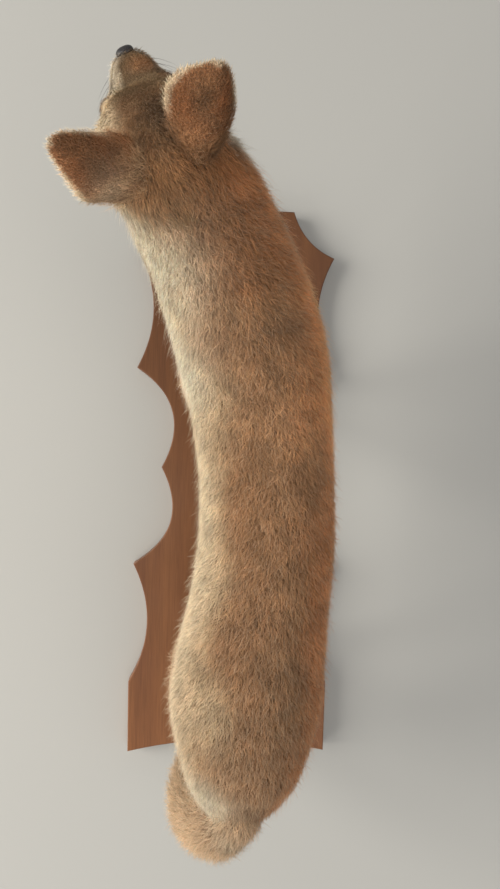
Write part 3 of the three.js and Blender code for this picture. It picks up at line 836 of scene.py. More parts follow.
def form_colours(form, points, local, angle, along):
    """The colours that one form would give to every point."""
    if form["name"] == "torso":
        return body_colours(points, angle, along)
    if form["name"] == "head":
        return head_colours(local, points)
    if form["name"] == "tail":
        return tail_colours(points, angle, along)
    if form["name"].endswith("paw"):
        return layered(PAW_BROWN, len(points), [])
    return leg_colours(points, angle, along / form["s"][-1])


def ear_colours(marks, points):
    """Brown back with a darker middle, cream rim and pale buff hollow. The left ear's foot and lower lobe are
    paler, partly as painted light of the lit side, and the right ear's foot is darker with painted shade."""
    s, a, b = marks.T
    blotch = ripple(points, 0.018, 31)
    low = s + 0.1 * blotch
    left = points[:, 0] < -0.08
    right = points[:, 0] > -0.08
    middle = np.exp(-((s - 0.5) / 0.24) ** 2 - ((a + 0.1 * blotch) / 0.45) ** 2)
    rim = smoothstep(0.84, 0.96, np.maximum(np.abs(a), smoothstep(0.9, 1.0, s))) * smoothstep(0.26, 0.48, s)
    hollow = smoothstep(0.0, -0.5, b) * smoothstep(0.97, 0.85, np.abs(a))
    bare_skin = smoothstep(0.62, 0.25, np.abs(a - 0.1)) * smoothstep(0.05, 0.2, s) * smoothstep(0.95, 0.6, s)
    return layered(EAR_BROWN, len(points), [
        (RUST, 0.3 + 0.3 * ripple(points, 0.03, 32)),
        (UMBER, 0.85 * middle * (0.7 + 0.3 * blotch)),
        (GOLD, smoothstep(0.42, 0.1, s + 0.12 * blotch)),
        # The left ear's foot: partly pale fur, partly painted light.
        (BUFF, 0.5 * smoothstep(0.25, 0.0, low) * left),
        # The right ear's foot: painted shade where it meets the head.
        (EAR_FOOT_SHADE, 0.85 * smoothstep(0.26, 0.02, low) * right),
        # Cream on the left ear's lower lobe: partly pale fur, partly painted light.
        (CREAM, 0.75 * spots(points, (-114, 229, 440, 16))),
        (LIGHTER, 0.18 * ripple(points, 0.007, 33)),
        (CREAM, 0.9 * rim),
        (CREAM, hollow),
        (INNER_EAR, 0.85 * hollow * bare_skin)])


colours = np.zeros_like(skin_points)
for f, form in enumerate(forms):
    along = form["s"][nearest[:, f]]
    colours += share[:, f, None] * form_colours(form, skin_points, local, angles[:, f], along)
for rows, marks in ears.values():
    colours[rows] = ear_colours(marks, skin_points[rows])
colours = np.clip(colours * (1.0, 0.98, 0.95), 0.004, 0.95)
print("painted; mean colour", colours.mean(0).round(3))

# %% [markdown]
# ## Finishes for hide and hair
# Hair on a mount is dry and matt with a soft sheen along it. The colours come from the attribute
# painted above. A shared node group breaks them up with flecks at two scales, because a real coat
# is thousands of banded hairs, and the skin below gets a fine hair-like bump.


# %% Node helpers and the fleck group
def feed(tree, target, inputs):
    """Sets inputs of a node by name or number: to a value, or linked when given another node's output."""
    for key, value in inputs.items():
        if isinstance(value, bpy.types.NodeSocket):
            tree.links.new(value, target.inputs[key])
        else:
            target.inputs[key].default_value = value


def node(tree, kind, inputs, out=0, **settings):
    """Adds a node to the right of the last one, sets it up and gives back one of its outputs."""
    made = tree.nodes.new("ShaderNode" + kind)
    made.location = (220 * len(tree.nodes), -300)
    for key, value in settings.items():
        setattr(made, key, value)
    feed(tree, made, inputs)
    return made.outputs[out]


def map_range(tree, value, low, high, to_low=0.0, to_high=1.0):
    """Takes a range of values to another one in a straight line, held at its ends."""
    return node(tree, "MapRange", {0: value, 1: low, 2: high, 3: to_low, 4: to_high})


def colour_ramp(tree, value, *stops):
    """Colours by value: each stop is a place from 0 to 1, then red, green and blue."""
    colour = node(tree, "ValToRGB", {"Fac": value})
    elements = colour.node.color_ramp.elements
    while len(elements) < len(stops):
        elements.new(0.5)
    for element, (place, *rgb) in zip(elements, stops):
        element.position, element.color = place, (*rgb, 1)
    return colour


def object_place(tree):
    """Object coordinates of the point that is shaded."""
    return node(tree, "TexCoord", {}, "Object")


def new_material(name):
    """A material, its tree and its Principled shader."""
    material = bpy.data.materials.new(name)
    material.use_nodes = True
    return material, material.node_tree, material.node_tree.nodes["Principled BSDF"]


def make_fleck_group():
    """Colour in, colour out: brightness wanders by two noises read from Object coordinates."""
    group = bpy.data.node_groups.new("fur_fleck", "ShaderNodeTree")
    for name, way, kind in (("Color", "INPUT", "Color"), ("Amount", "INPUT", "Float"),
                            ("Color", "OUTPUT", "Color"), ("Height", "OUTPUT", "Float")):
        group.interface.new_socket(name, in_out=way, socket_type="NodeSocket" + kind)
    start, end = group.nodes.new("NodeGroupInput"), group.nodes.new("NodeGroupOutput")
    end.location = (2400, 0)
    place = object_place(group)
    patch = node(group, "TexNoise", {"Vector": place, "Scale": 45.0, "Detail": 2.0}, "Fac")
    hairs = node(group, "TexNoise", {"Vector": place, "Scale": 900.0, "Detail": 1.0}, "Fac")
    both = node(group, "Math", {0: patch, 1: hairs}, operation="ADD")
    spread = map_range(group, both, 0.7, 1.3, -1.0, 1.0)
    scaled = node(group, "Math", {0: spread, 1: start.outputs["Amount"]}, operation="MULTIPLY")
    lifted = node(group, "Math", {0: scaled, 1: 1.0}, operation="ADD")
    tint = node(group, "VectorMath", {0: start.outputs["Color"], "Scale": lifted}, operation="SCALE")
    feed(group, end, {"Color": tint, "Height": hairs})
    return group


def painted_material(name, amount, roughness, sheen=0.0, bump=0.0):
    """A finish that reads the painted colours, breaks them up with flecks and may have a hair bump."""
    material, tree, shader = new_material(name)
    painted = node(tree, "Attribute", {}, "Color", attribute_name="coat_colour")
    flecked = node(tree, "Group", {}, "Color", node_tree=fleck)
    feed(tree, flecked.node, {"Color": painted, "Amount": amount})
    feed(tree, shader, {
        "Base Color": flecked, "Roughness": roughness, "Specular IOR Level": 0.25, "Sheen Weight": sheen,
        "Sheen Roughness": 0.35, "Sheen Tint": (1.0, 0.76, 0.5, 1.0)})
    if bump:
        height = flecked.node.outputs["Height"]
        rise = node(tree, "Bump", {"Strength": 0.6, "Distance": bump, "Height": height})
        feed(tree, shader, {"Normal": rise})
    return material


def paint_mesh(mesh, colours):
    """Writes colours, one for each vertex, into the attribute that the finishes read."""
    attribute = mesh.color_attributes.new("coat_colour", "FLOAT_COLOR", "POINT")
    rgba = np.ones((len(colours), 4), np.float32)
    rgba[:, :3] = colours
    attribute.data.foreach_set("color", rgba.ravel())


SKIN_DIM = 0.85  # the skin is a little darker than the hair over it
fleck = make_fleck_group()
hide = painted_material("hide_with_short_hair", 0.35, 0.75, bump=0.0006)
hair = painted_material("guard_hair", 0.3, 0.55, sheen=0.4)
flesh = [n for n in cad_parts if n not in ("board", "eye_left", "eye_right", "nose_pad")]
skin_mesh = new_mesh("skin", skin_points, skin_quads, skin_tris)
paint_mesh(skin_mesh, colours * SKIN_DIM)
new_piece("skin", skin_mesh, hide, "coat", *flesh)
print("skin replaces", len(flesh), "solids")

# %% [markdown]
# ## The coat
# Particle hair can't be exported as a solid, so the coat is real mesh: each lock is a slim closed
# spindle of five points that rises from the skin and lies along the body. Locks are sown by area and
# by how much each one covers, small and dense on the face and feet, long on the neck and tail.

# %% How long, wide and dense the locks are
LOCKS = 247000
x, y, z = (local / MM).T
head_part = head_share * ~on_ear
is_tail = share[:, TAIL_FORM]
leg_part = share[:, FIRST_LEG:].sum(1) * ~on_ear
muzzle = head_part * smoothstep(40, 60, y)
fringe = head_part * bell(y, 45, 8) * smoothstep(22, 12, np.abs(x)) * (z > -2)
lock_length = 1.4 * depth + 0.0012 + 0.007 * is_tail + 0.0016 * muzzle
lock_length = np.clip(lock_length + 0.004 * fringe, 0.0024, 0.036)
lock_width = 0.00027 + 0.0185 * lock_length + 0.00012 * leg_part
depth = depth + 0.0025 * fringe
short_leg_hair = leg_part * smoothstep(0.007, 0.004, depth)
cover = 5.6 - 1.6 * head_part * smoothstep(-10, 25, y) - 3.2 * short_leg_hair + 3.5 * is_tail
bare = np.zeros(len(skin_points))
for name, side in SIDES:
    measure = slit_measure(local, side)[0]
    bare = np.maximum(bare, smoothstep(1.42, 1.25, measure) * head_part)
    near_eye = smoothstep(6.0, 2.0, measure) * head_part
    depth = depth * (1 - 0.6 * near_eye)
    lock_length = lock_length * (1 - 0.45 * near_eye)
bare = np.maximum(bare, head_part * smoothstep(1.6, 0.9, np.abs(lip_distance(local)) / MM) * (y > 44))
bare = np.maximum(bare, head_part * smoothstep(105.5, 107.0, y))
bare[(skin_points[:, 2] < BOARD_TOP + 0.003) & (skin_normals[:, 2] < -0.3)] = 1  # the soles
for rows, marks in ears.values():
    s, a, b = marks.T
    off_middle = np.abs(a - 0.1)
    tufts = smoothstep(0.8, 0.3, s) * smoothstep(0.3, 0.7, off_middle) * smoothstep(1.0, 0.85, np.abs(a))
    lock_length[rows] = 0.0052 - 0.0026 * smoothstep(0.8, 1.0, s) + 0.009 * smoothstep(0.4, 0.0, s)
    lock_length[rows] += 0.011 * (b < 0) * tufts
    lock_width[rows] = 0.00048
    cover[rows] = np.where(b > 0, 3.6, 1.0 + 2.2 * smoothstep(0.3, 0.75, off_middle))
    bare[rows] = np.maximum(smoothstep(0.0, -0.05, s), smoothstep(0.985, 0.999, s))
density = cover * (1 - bare) / (lock_length * lock_width)
area = np.linalg.norm(face_products(skin_points, all_tris), axis=1) / 2
wanted = area * density[all_tris].mean(1)
print("locks by cover:", int(wanted.sum()), "kept to", LOCKS)

# %% Sow the roots
total = np.cumsum(wanted)
pick = (np.arange(LOCKS) + rng.uniform(0, 1, LOCKS)) / LOCKS * total[-1]
face_of = np.minimum(np.searchsorted(total, pick), len(all_tris) - 1)
r1, r2 = np.sqrt(rng.uniform(0, 1, LOCKS)), rng.uniform(0, 1, LOCKS)
weights = np.stack([1 - r1, r1 * (1 - r2), r1 * r2], 1)


def at_roots(values):
    """Values at the sown roots: the three corners' values mixed by the root's place in its face."""
    weight = weights if values.ndim == 1 else weights[..., None]
    return (values[all_tris[face_of]] * weight).sum(1)


root, root_colour = at_roots(skin_points), at_roots(colours)
root_normal, root_lie = unit(at_roots(skin_normals)), unit(at_roots(lie))
root_depth, root_length, root_width = at_roots(depth), at_roots(lock_length), at_roots(lock_width)
root_head, root_tail = at_roots(head_part), at_roots(is_tail)
lead = all_tris[face_of, weights.argmax(1)]  # the corner of its face that each root is closest to
print("sown", LOCKS, "roots; lengths", (np.percentile(root_length, [2, 50, 98]) / MM).round(1), "mm")


# %% Comb, lift and tint the locks
def scatter(limit, size=LOCKS):
    """Normal random numbers, held between the limit and its negative."""
    return rng.normal(size=size).clip(-limit, limit)


def column(values):
    """One number for each lock as a column, to go with three coordinates or colours."""
    return values[:, None]


stray = np.radians(30) * (1 - 0.5 * root_head) * scatter(2.2)
swirl = np.radians(8) * ripple(root, 0.035, 41) + np.radians(5) * ripple(root, 0.014, 42) + stray
sideways = np.cross(root_normal, root_lie)
comb = square_to(unit(root_lie * column(np.cos(swirl)) + sideways * column(np.sin(swirl))), root_normal)
clump = 0.5 + 0.5 * np.clip(ripple(root, 0.011, 43), -1, 1)
length = root_length * (0.84 + 0.16 * clump + 0.14 * scatter(1.5))
width = root_width * rng.uniform(0.8, 1.2, LOCKS)
tip_height = root_depth * (0.86 + 0.10 * clump) * rng.uniform(0.7, 1.12, LOCKS) * (1 + 0.25 * root_tail)
guard = rng.uniform(0, 1, LOCKS)
wild, finest = guard > 0.90, guard > 0.97
length = np.where(wild, length * (1.35 - 0.3 * root_tail), length)
width = np.where(wild, width * np.where(finest, 0.42, 0.6), width)
tip_height = np.where(wild, tip_height * rng.uniform(1.15, 1.6, LOCKS) * np.where(finest, 1.3, 1), tip_height)
tip_height = np.minimum(tip_height, root_depth * (1.7 - 0.3 * root_tail))
bend_height = tip_height * rng.uniform(0.5, 0.72, LOCKS)
grizzle = 0.17 + 0.05 * root_head * smoothstep(0.1, 0.25, 1 - root_colour.max(1))
tint = 1 + grizzle * scatter(2)
for strength, size, seed in ((0.05, 0.02, 44), (0.04, 0.007, 45), (0.11, 0.0026, 46)):
    tint = tint + strength * ripple(root, size, seed)
shade = root_colour * column(tint) * (1 + 0.03 * rng.normal(size=(LOCKS, 3)) * (1, 0, -1))
on_body = (1 - root_head) * smoothstep(0.004, 0.008, root_depth)
tip_tint = np.where(guard > 0.8, 1.5, 1.1 + 0.25 * rng.uniform(-1, 1, LOCKS))
tip_tint = np.where(guard < 0.08 * on_body, 0.5, tip_tint)
pale_tip = column(0.42 * on_body * (guard > 0.62) * (guard < 0.9))
tip_colour = shade * column(tip_tint) * (1 - pale_tip) + pale_tip * PALE_BAND

LOCK_FACES = np.array([[0, 2, 1], [0, 3, 2], [0, 1, 3], [4, 1, 2], [4, 2, 3], [4, 3, 1]])
ROOT_SUNK, BEND_AT = 0.0004, 0.36  # depth of the root in the skin; the bend's share of the length


def lock_points():
    """Five points a lock: root just under the skin, a flat ring of three at the bend, and the tip."""
    across = np.cross(comb, root_normal) * column(width / 2)
    middle = root + comb * column(BEND_AT * length) + root_normal * column(bend_height)
    ridge = root_normal * column(0.3 * width)
    end = root + comb * column(length) + root_normal * column(tip_height)
    start = root - root_normal * ROOT_SUNK
    return np.stack([start, middle - across, middle + ridge, middle + across, end], 1)


locks = lock_points()
locks[..., 2] = np.maximum(locks[..., 2], BOARD_TOP + 0.0003)
lock_colours = np.stack([shade * dim for dim in (0.66, 0.93, 0.98, 0.93)] + [tip_colour], 1).clip(0.004, 0.92)

# %% [markdown]
# ## An unwrap for the coat
# Each lock also carries a small patch on a map of the skin, at its root's own place: along the form
# and round it. A baked picture of the coat then has each lock's own colour.

# %% Place every lock on the unwrap
PATCH = np.array([[-1, 0], [0, -1], [0, 0], [0, 1], [1, 0]]) * 0.0015
root_on_ear = on_ear[lead]
root_form = np.where(root_on_ear, -1, best[lead])
bake_uv = np.zeros((LOCKS, 2))
for f, form in enumerate(forms):
    mine = np.flatnonzero(root_form == f)
    if len(mine):
        i, close, angle = measure_form(form, root[mine])
        step = ((root[mine] - form["centre"][i]) * form["along"][i]).sum(1) / form["step"]
        bake_uv[mine, 0] = np.clip((i + step) / (len(form["s"]) - 1), 0, 1)
        bake_uv[mine, 1] = angle / (2 * np.pi) + 0.5
for (rows, marks), half_of_map in zip(ears.values(), (0.02, 0.52)):
    mine = np.flatnonzero((lead >= rows.start) & (lead < rows.stop))
    s, a, b = marks[lead[mine] - rows.start].T
    bake_uv[mine, 0] = np.clip(s, 0, 1) * 0.45 + half_of_map
    bake_uv[mine, 1] = np.arctan2(a, b) / (2 * np.pi) + 0.5 + rng.uniform(-0.01, 0.01, len(mine))
bake_uv = np.clip(bake_uv, 0.002, 0.998)[:, None] + PATCH


# %% Make the pieces of the coat
def make_coat(name, mask, slot="coat"):
    """One mesh of the chosen locks, with their colours and their patches of the unwrap."""
    chosen = np.flatnonzero(mask)
    tris = (LOCK_FACES + 5 * np.arange(len(chosen))[:, None, None]).reshape(-1, 3)
    mesh = new_mesh(name, locks[chosen].reshape(-1, 3), tris=tris)
    paint_mesh(mesh, lock_colours[chosen].reshape(-1, 3))
    write_map(mesh, "OFBake", bake_uv[chosen].reshape(-1, 2))
    new_piece(name, mesh, hair, slot)
    print(f"{name}: {len(chosen)} locks, {len(tris)} triangles")


HALF_MUZZLE, NECK_FROM, SHOULDERS_FROM = 0.045, 11, 6.5  # in metres, and stations of the trunk
torso, in_torso = forms[TORSO_FORM], nearest[lead, TORSO_FORM]
right_of_spine = ((root - torso["centre"][in_torso]) * torso["side"][in_torso]).sum(1) > 0
station = np.where(root_form == TORSO_FORM, torso["s"][in_torso], -1)
on_face = in_head(root)[:, 1] > HALF_MUZZLE
make_coat("coat_face", (root_form == HEAD_FORM) & on_face)
make_coat("coat_crown", (root_form == HEAD_FORM) & ~on_face)
make_coat("coat_ears", root_on_ear, "ear")
make_coat("coat_neck", station > NECK_FROM)
for name, low, high in (("coat_shoulders", SHOULDERS_FROM, NECK_FROM), ("coat_flank", 0, SHOULDERS_FROM)):
    between = (station > low) & (station <= high)
    make_coat(name + "_left", between & ~right_of_spine)
    make_coat(name + "_right", between & right_of_spine)
make_coat("coat_tail", root_form == TAIL_FORM)
for leg, (name, *_) in enumerate(LEGS):
    make_coat("coat_" + name, (root_form - FIRST_LEG) // 2 == leg, "dark_coat")

# %% [markdown]
# ## Glass eyes
# A taxidermist sets blown-glass eyes: an amber iris with an upright slit pupil behind a clear,
# bulging front. The ball is a sphere with a slight bulge, and a map of two numbers across the front
# lets the finish draw pupil, fibres and dark rim exactly.


# %% Eyeballs
def eye_ball(side):
    """Sphere about the gaze: at angle t from it, centre + r(t) (gaze cos t + ring sin t), bulging in
    front. Also the chart: each point's place across the eye, in eye radii, and far out at the back."""
    centre, gaze, long_axis, short_axis = eye_frame(side)
    t = np.linspace(0.0, np.pi, 34)[1:-1, None]
    turn = circle(48)[None]
    r = EYE_RADIUS + 0.0005 * bell(t, 0, 0.55) + 0 * turn
    ring = np.cos(turn)[..., None] * long_axis + np.sin(turn)[..., None] * short_axis
    grid = centre + (r * np.cos(t))[..., None] * gaze + (r * np.sin(t))[..., None] * ring
    points, quads, tris = closed_grid(grid)
    offset = points - centre
    upright = square_to(np.array([0, 0.25, 1.0]), gaze)
    far_out = np.where((offset @ gaze) > 0, 1.0, 8.0)
    chart = np.stack([offset @ np.cross(upright, gaze), offset @ upright], 1) / EYE_RADIUS * far_out[:, None]
    return from_head(points), quads, tris, chart


def make_eye_finish():
    """Radial bands of one map: black slit pupil, amber fibres, dark rim, brown beyond, under clear glass."""
    material, tree, shader = new_material("amber_glass_eye")
    chart = node(tree, "UVMap", {}, uv_map="iris_chart")
    centred = node(tree, "VectorMath", {0: chart, 1: (0.5, 0.5, 0)}, operation="SUBTRACT")
    radius = node(tree, "VectorMath", {0: centred}, "Value", operation="LENGTH")
    squeezed = node(tree, "VectorMath", {0: centred, 1: (2.7, 1.0, 0)}, operation="MULTIPLY")
    slit = node(tree, "VectorMath", {0: squeezed}, "Value", operation="LENGTH")
    direction = node(tree, "VectorMath", {0: centred}, operation="NORMALIZE")
    slower = node(tree, "VectorMath", {0: direction, "Scale": 0.35}, operation="SCALE")
    rays = node(tree, "TexNoise", {"Vector": slower, "Scale": 60.0}, "Fac")
    wander = node(tree, "Math", {0: rays, 1: 0.03, 2: radius}, operation="MULTIPLY_ADD")
    bands = colour_ramp(tree, wander, (0.0, 0.55, 0.27, 0.05), (0.2, 0.62, 0.33, 0.07),
                        (0.30, 0.42, 0.17, 0.03), (0.345, 0.03, 0.015, 0.008), (0.40, 0.02, 0.012, 0.01))
    fibres = node(tree, "Mix", {"Factor": 0.55, "A": bands, "B": rays.node.outputs["Color"]}, "Result",
                  data_type="RGBA", blend_type="MULTIPLY")
    iris = node(tree, "Mix", {"Factor": map_range(tree, slit, 0.235, 0.25), "A": (0.004, 0.003, 0.003, 1),
                              "B": fibres}, "Result", data_type="RGBA")
    feed(tree, shader, {"Base Color": iris, "Roughness": 0.12, "Coat Weight": 1.0, "Coat Roughness": 0.03})
    return material


eye_glass = make_eye_finish()
for name, side in SIDES:
    points, quads, tris, chart = eye_ball(side)
    mesh = new_mesh(f"eye_{name}_glass", points, quads, tris)
    write_map(mesh, "iris_chart", chart * 0.5 + 0.5)
    new_piece(f"eye_{name}_glass", mesh, eye_glass, "eye", "eye_" + name)

# %% [markdown]
# ## Lid rims, nose leather, claws and whiskers
# The nose is bare, damp-looking leather with a pebbled grain, a groove down the middle and two
# comma-shaped nostrils. Claws are curved horn cones, and the whiskers are stiff tapering bristles.


# %% Lid rims and leather
def tube(path, radius, around=8, closed=False):
    """Rings of a round tube along a path: point + radius (across cos a + out sin a)."""
    radius = np.broadcast_to(radius, len(path))[:, None, None]
    ahead = np.roll(path, -1, 0) - np.roll(path, 1, 0) if closed else np.gradient(path, axis=0)
    along = unit(ahead)
    across = unit(np.cross(along, np.array([0.23, 0.31, 0.92])))
    out = np.cross(along, across)
    a = circle(around)[None, :, None]
    return path[:, None] + radius * (across[:, None] * np.cos(a) + out[:, None] * np.sin(a))


def lid_rim(side):
    """The almond's edge on the eyeball: for angle q round it, a = width cos q, b = height sin q |sin q|."""
    centre, gaze, long_axis, short_axis = eye_frame(side)
    q = circle(64)
    a = OPEN_HALF_WIDTH * 1.04 * np.cos(q)
    b = OPEN_HALF_HEIGHT * 1.02 * np.sign(np.sin(q)) * np.sin(q) ** 2
    ray = a[:, None] * long_axis + b[:, None] * short_axis
    ahead = np.sqrt(np.maximum(EYE_RADIUS**2 - (ray**2).sum(1), 1e-9))
    path = from_head(centre + unit(ray + ahead[:, None] * gaze) * (EYE_RADIUS + 0.0007))
    rings = tube(path, 0.0008, closed=True)
    rows, columns = rings.shape[:2]
    quads = grid_faces(rows + 1, columns) % (rows * columns)
    return facing_out(rings.reshape(-1, 3), quads, np.zeros((0, 3), int))


def leather_finish(name, colour, roughness, scale, bump, coat=0.0):
    """A dark finish with a pebbled bump of cells and a slight change of tone between the pebbles."""
    material, tree, shader = new_material(name)
    cells = node(tree, "TexVoronoi", {"Vector": object_place(tree), "Scale": scale}, "Distance")
    middle, edge = ([c * change for c in colour] for change in (1.6, 0.6))
    tone = colour_ramp(tree, cells, (0.0, *middle), (1.0, *edge))
    rise = node(tree, "Bump", {"Strength": 0.7, "Distance": bump, "Height": cells}, invert=True)
    feed(tree, shader, {"Base Color": tone, "Normal": rise, "Roughness": roughness,
                        "Coat Weight": coat, "Coat Roughness": 0.25})
    return material


nose_leather = leather_finish("nose_leather", (0.014, 0.011, 0.011), 0.42, 1100.0, 0.0004, coat=0.25)
rim_leather = leather_finish("lid_leather", (0.012, 0.008, 0.007), 0.5, 1500.0, 0.0001)
horn = leather_finish("claw_horn", (0.035, 0.024, 0.018), 0.5, 500.0, 0.00005)
for name, side in SIDES:
    new_piece("lid_rim_" + name, new_mesh("lid_rim_" + name, *lid_rim(side)), rim_leather, "nose")

# %% Nose
NOSE_AT, NOSE_HALF = (0, 107, -12.5), (7.4, 5.6, 6.4)  # side, forward, up in the head's frame
GROOVE_DEPTH, NOSTRIL_DEPTH, SLOT_DEPTH = 1.1, 3.2, 1.6


def rounded(v):
    """A power a little under one, which makes an ellipsoid blockier."""
    return np.sign(v) * np.abs(v) ** 0.85


def nose_grid():
    """Rounded block: middle + half size times a ring, wider and set back at the top, with the groove
    and the comma-shaped nostrils pressed into its front."""
    u, t = np.linspace(0.03, np.pi - 0.03, 48)[:, None], circle(72)[None]
    forward, up = rounded(np.cos(u)) + 0 * t, rounded(np.sin(u)) * rounded(np.sin(t))
    x = NOSE_HALF[0] * (rounded(np.sin(u)) * rounded(np.cos(t))) * (1 + 0.18 * up)
    y, z = NOSE_HALF[1] * forward - 1.6 * up, NOSE_HALF[2] * up
    y = y - GROOVE_DEPTH * bell(x, 0, 0.55) * (forward > 0) * smoothstep(3.5, 1.0, z)
    for way in (-1, 1):
        across = x - way * 3.9
        hole = np.exp(-((across / 1.7) ** 2) - ((z + 0.3 + 0.25 * way * across) / 1.6) ** 2)
        slot = np.exp(-(((x - way * 6.6) / 2.0) ** 2) - ((z + 2.0) / 0.8) ** 2)
        y = y - (NOSTRIL_DEPTH * hole + SLOT_DEPTH * slot) * (forward > 0)
    grid = np.stack([x, y, z], -1) * MM + np.array(NOSE_AT) * MM
    return from_head(grid.reshape(-1, 3)).reshape(grid.shape)


nose_mesh = new_mesh("nose_leather_pad", *closed_grid(nose_grid()))
new_piece("nose_leather_pad", nose_mesh, nose_leather, "nose", "nose_pad")

# %% Claws and whiskers
CLAW_LENGTH, CLAW_RADIUS, CLAW_STEPS = 0.0095, 0.00165, 7
DEWCLAW_RADIUS, WHISKER_RADIUS = 0.0015, 0.00019


def claw(start):
    """A cone that bends down more and more along its length, to 50 degrees at the tip."""
    t = np.linspace(0, 1, CLAW_STEPS + 1)
    bend = np.radians(8 + 42 * t)
    ahead = np.concatenate([[0], np.cumsum(np.cos(bend[1:]))]) / CLAW_STEPS * CLAW_LENGTH
    fall = np.concatenate([[0], np.cumsum(np.sin(bend[1:]))]) / CLAW_STEPS * CLAW_LENGTH
    path = start + np.stack([0 * ahead, ahead, -fall * 0.95], 1)
    return closed_grid(tube(path, CLAW_RADIUS * (1 - t) ** 0.75 + 0.00012))


def dewclaw(foot, inner):
    """A small cone on the inner side of a foreleg, pointing down and curving in to the leg."""
    t = np.linspace(0, 1, 7)[:, None]
    start = np.array([foot[0] + inner * 0.0105, foot[1] - 0.003, 0.072])
    path = start + np.array([inner * 0.0035, 0.004, -0.008]) * t - np.array([inner * 0.003, 0, 0]) * t**2
    return closed_grid(tube(path, DEWCLAW_RADIUS * (1 - t[:, 0]) ** 0.7 + 0.0001))


def whisker(side, row, place):
    """A bristle that leaves the muzzle sideways and back, and droops: start + aim reach t - droop t^2."""
    start = np.array([side * (14.0 + 1.2 * place), 97 - 6 * place - row, -16.0 - 2.2 * row]) * MM
    reach = (25 + 4 * place - 2 * row) * MM
    aim = unit(np.array([side * 0.78, -0.42 - 0.08 * place, 0.14 - 0.2 * row]))
    t = np.linspace(0, 1, 9)[:, None]
    path = start + aim * reach * t + np.array([0, -0.006, -0.006]) * t**2
    return closed_grid(tube(from_head(path), WHISKER_RADIUS * (1 - 0.85 * t[:, 0]), around=5))


claws = [claw(np.array([foot[0] + x * MM * 1.03, foot[1] + (y + half * 0.78) * MM, 0.0305]))
         for foot in feet.values() for x, y, half in TOES]
claws += [dewclaw(feet["foreleg_" + name], -side) for name, side in SIDES]
whiskers = [whisker(side, row, place) for name, side in SIDES for row in range(3) for place in range(3)]
new_piece("claws", new_mesh("claws", *join_parts(claws)), horn, "claw")
new_piece("whiskers", new_mesh("whiskers", *join_parts(whiskers)), rim_leather, "nose")
print("claws:", len(claws), "whiskers:", len(whiskers))

# %% [markdown]
# ## The scalloped board
# The stand is a flat board sawn to a run of hollow curves, sanded round along its edge and stained.
# Its outline is worked out from the corners and the depth of the hollow between each pair, and the
# edge is a quarter round carried along it.

# %% Board outline and edge
BOARD_HALF = [  # corners of the right side: side, forward, and the hollow on the way to each
    (74.5, 360, 0), (130, 300, 10), (129, 146, 20), (94, 15, 31), (128, -113, 31), (131, -268, 21),
    (130, -360, 0)]
REAR_HOLLOW, EDGE_ROUND, ARC_STEPS = 15, 1.4, 22


def hollow_arc(start, end, hollow, inward):
    """Points from start towards end: chord point + inward hollow 4 q (1 - q), a shallow parabola."""
    q = np.linspace(0, 1, ARC_STEPS, endpoint=False)[:, None]
    return start + (end - start) * q + inward * hollow * 4 * q * (1 - q)


def right_normal(v):
    """Directions in the plan turned a quarter turn to their right."""
    return np.stack([v[..., 1], -v[..., 0]], -1)


def board_outline():
    """The right side's hollows, the rear hollow, the left side mirrored and the straight front."""
    corners = np.array(BOARD_HALF, float)
    right = []
    for start, (*end, hollow) in zip(corners[:-1, :2], corners[1:]):
        chord = end - start
        inward = right_normal(chord) / np.linalg.norm(chord)
        inward = inward * (1 if inward[0] < 0 else -1)
        right.append(hollow_arc(start, np.array(end), hollow, inward))
    right = np.concatenate(right + [corners[-1:, :2]])
    rear = hollow_arc(right[-1], right[-1] * (-1, 1), REAR_HOLLOW, np.array([0, 1.0]))[1:]
    return np.concatenate([right, rear, right[::-1] * (-1, 1)])


def board_rings():
    """The outline at rising heights: inset by the round's profile, so the edge is a quarter circle."""
    line = board_outline()
    before, after = unit(line - np.roll(line, 1, 0)), unit(np.roll(line, -1, 0) - line)
    mitre = right_normal(before) + right_normal(after)
    mitre = mitre / np.maximum((mitre**2).sum(1, keepdims=True) / 2, 0.35)
    turn = np.linspace(0, np.pi / 2, 5)
    inset = np.concatenate([[EDGE_ROUND * 0.5, 0], EDGE_ROUND * (1 - np.cos(turn))])
    height = np.concatenate([[0, EDGE_ROUND * 0.5], BOARD_TOP / MM - EDGE_ROUND * (1 - np.sin(turn))])
    flat = line + inset[:, None, None] * mitre
    heights = np.broadcast_to(height[:, None, None], flat.shape[:2] + (1,))
    return np.concatenate([flat, heights], -1) * MM


def board_mesh():
    """Walls of quads between the rings, and one flat face below and one above."""
    rings = board_rings()
    rows, columns = rings.shape[:2]
    bottom, top = list(range(columns)), list(range((rows - 1) * columns, rows * columns))
    mesh = bpy.data.meshes.new("scalloped_board")
    mesh.from_pydata(rings.reshape(-1, 3).tolist(), [], grid_faces(rows, columns).tolist() + [bottom, top])
    bm = bmesh.new()
    bm.from_mesh(mesh)
    bmesh.ops.recalc_face_normals(bm, faces=bm.faces[:])
    for face in bm.faces:
        face.smooth = len(face.verts) == 4
    bm.to_mesh(mesh)
    bm.free()
    print("board outline:", columns, "points")
    return mesh


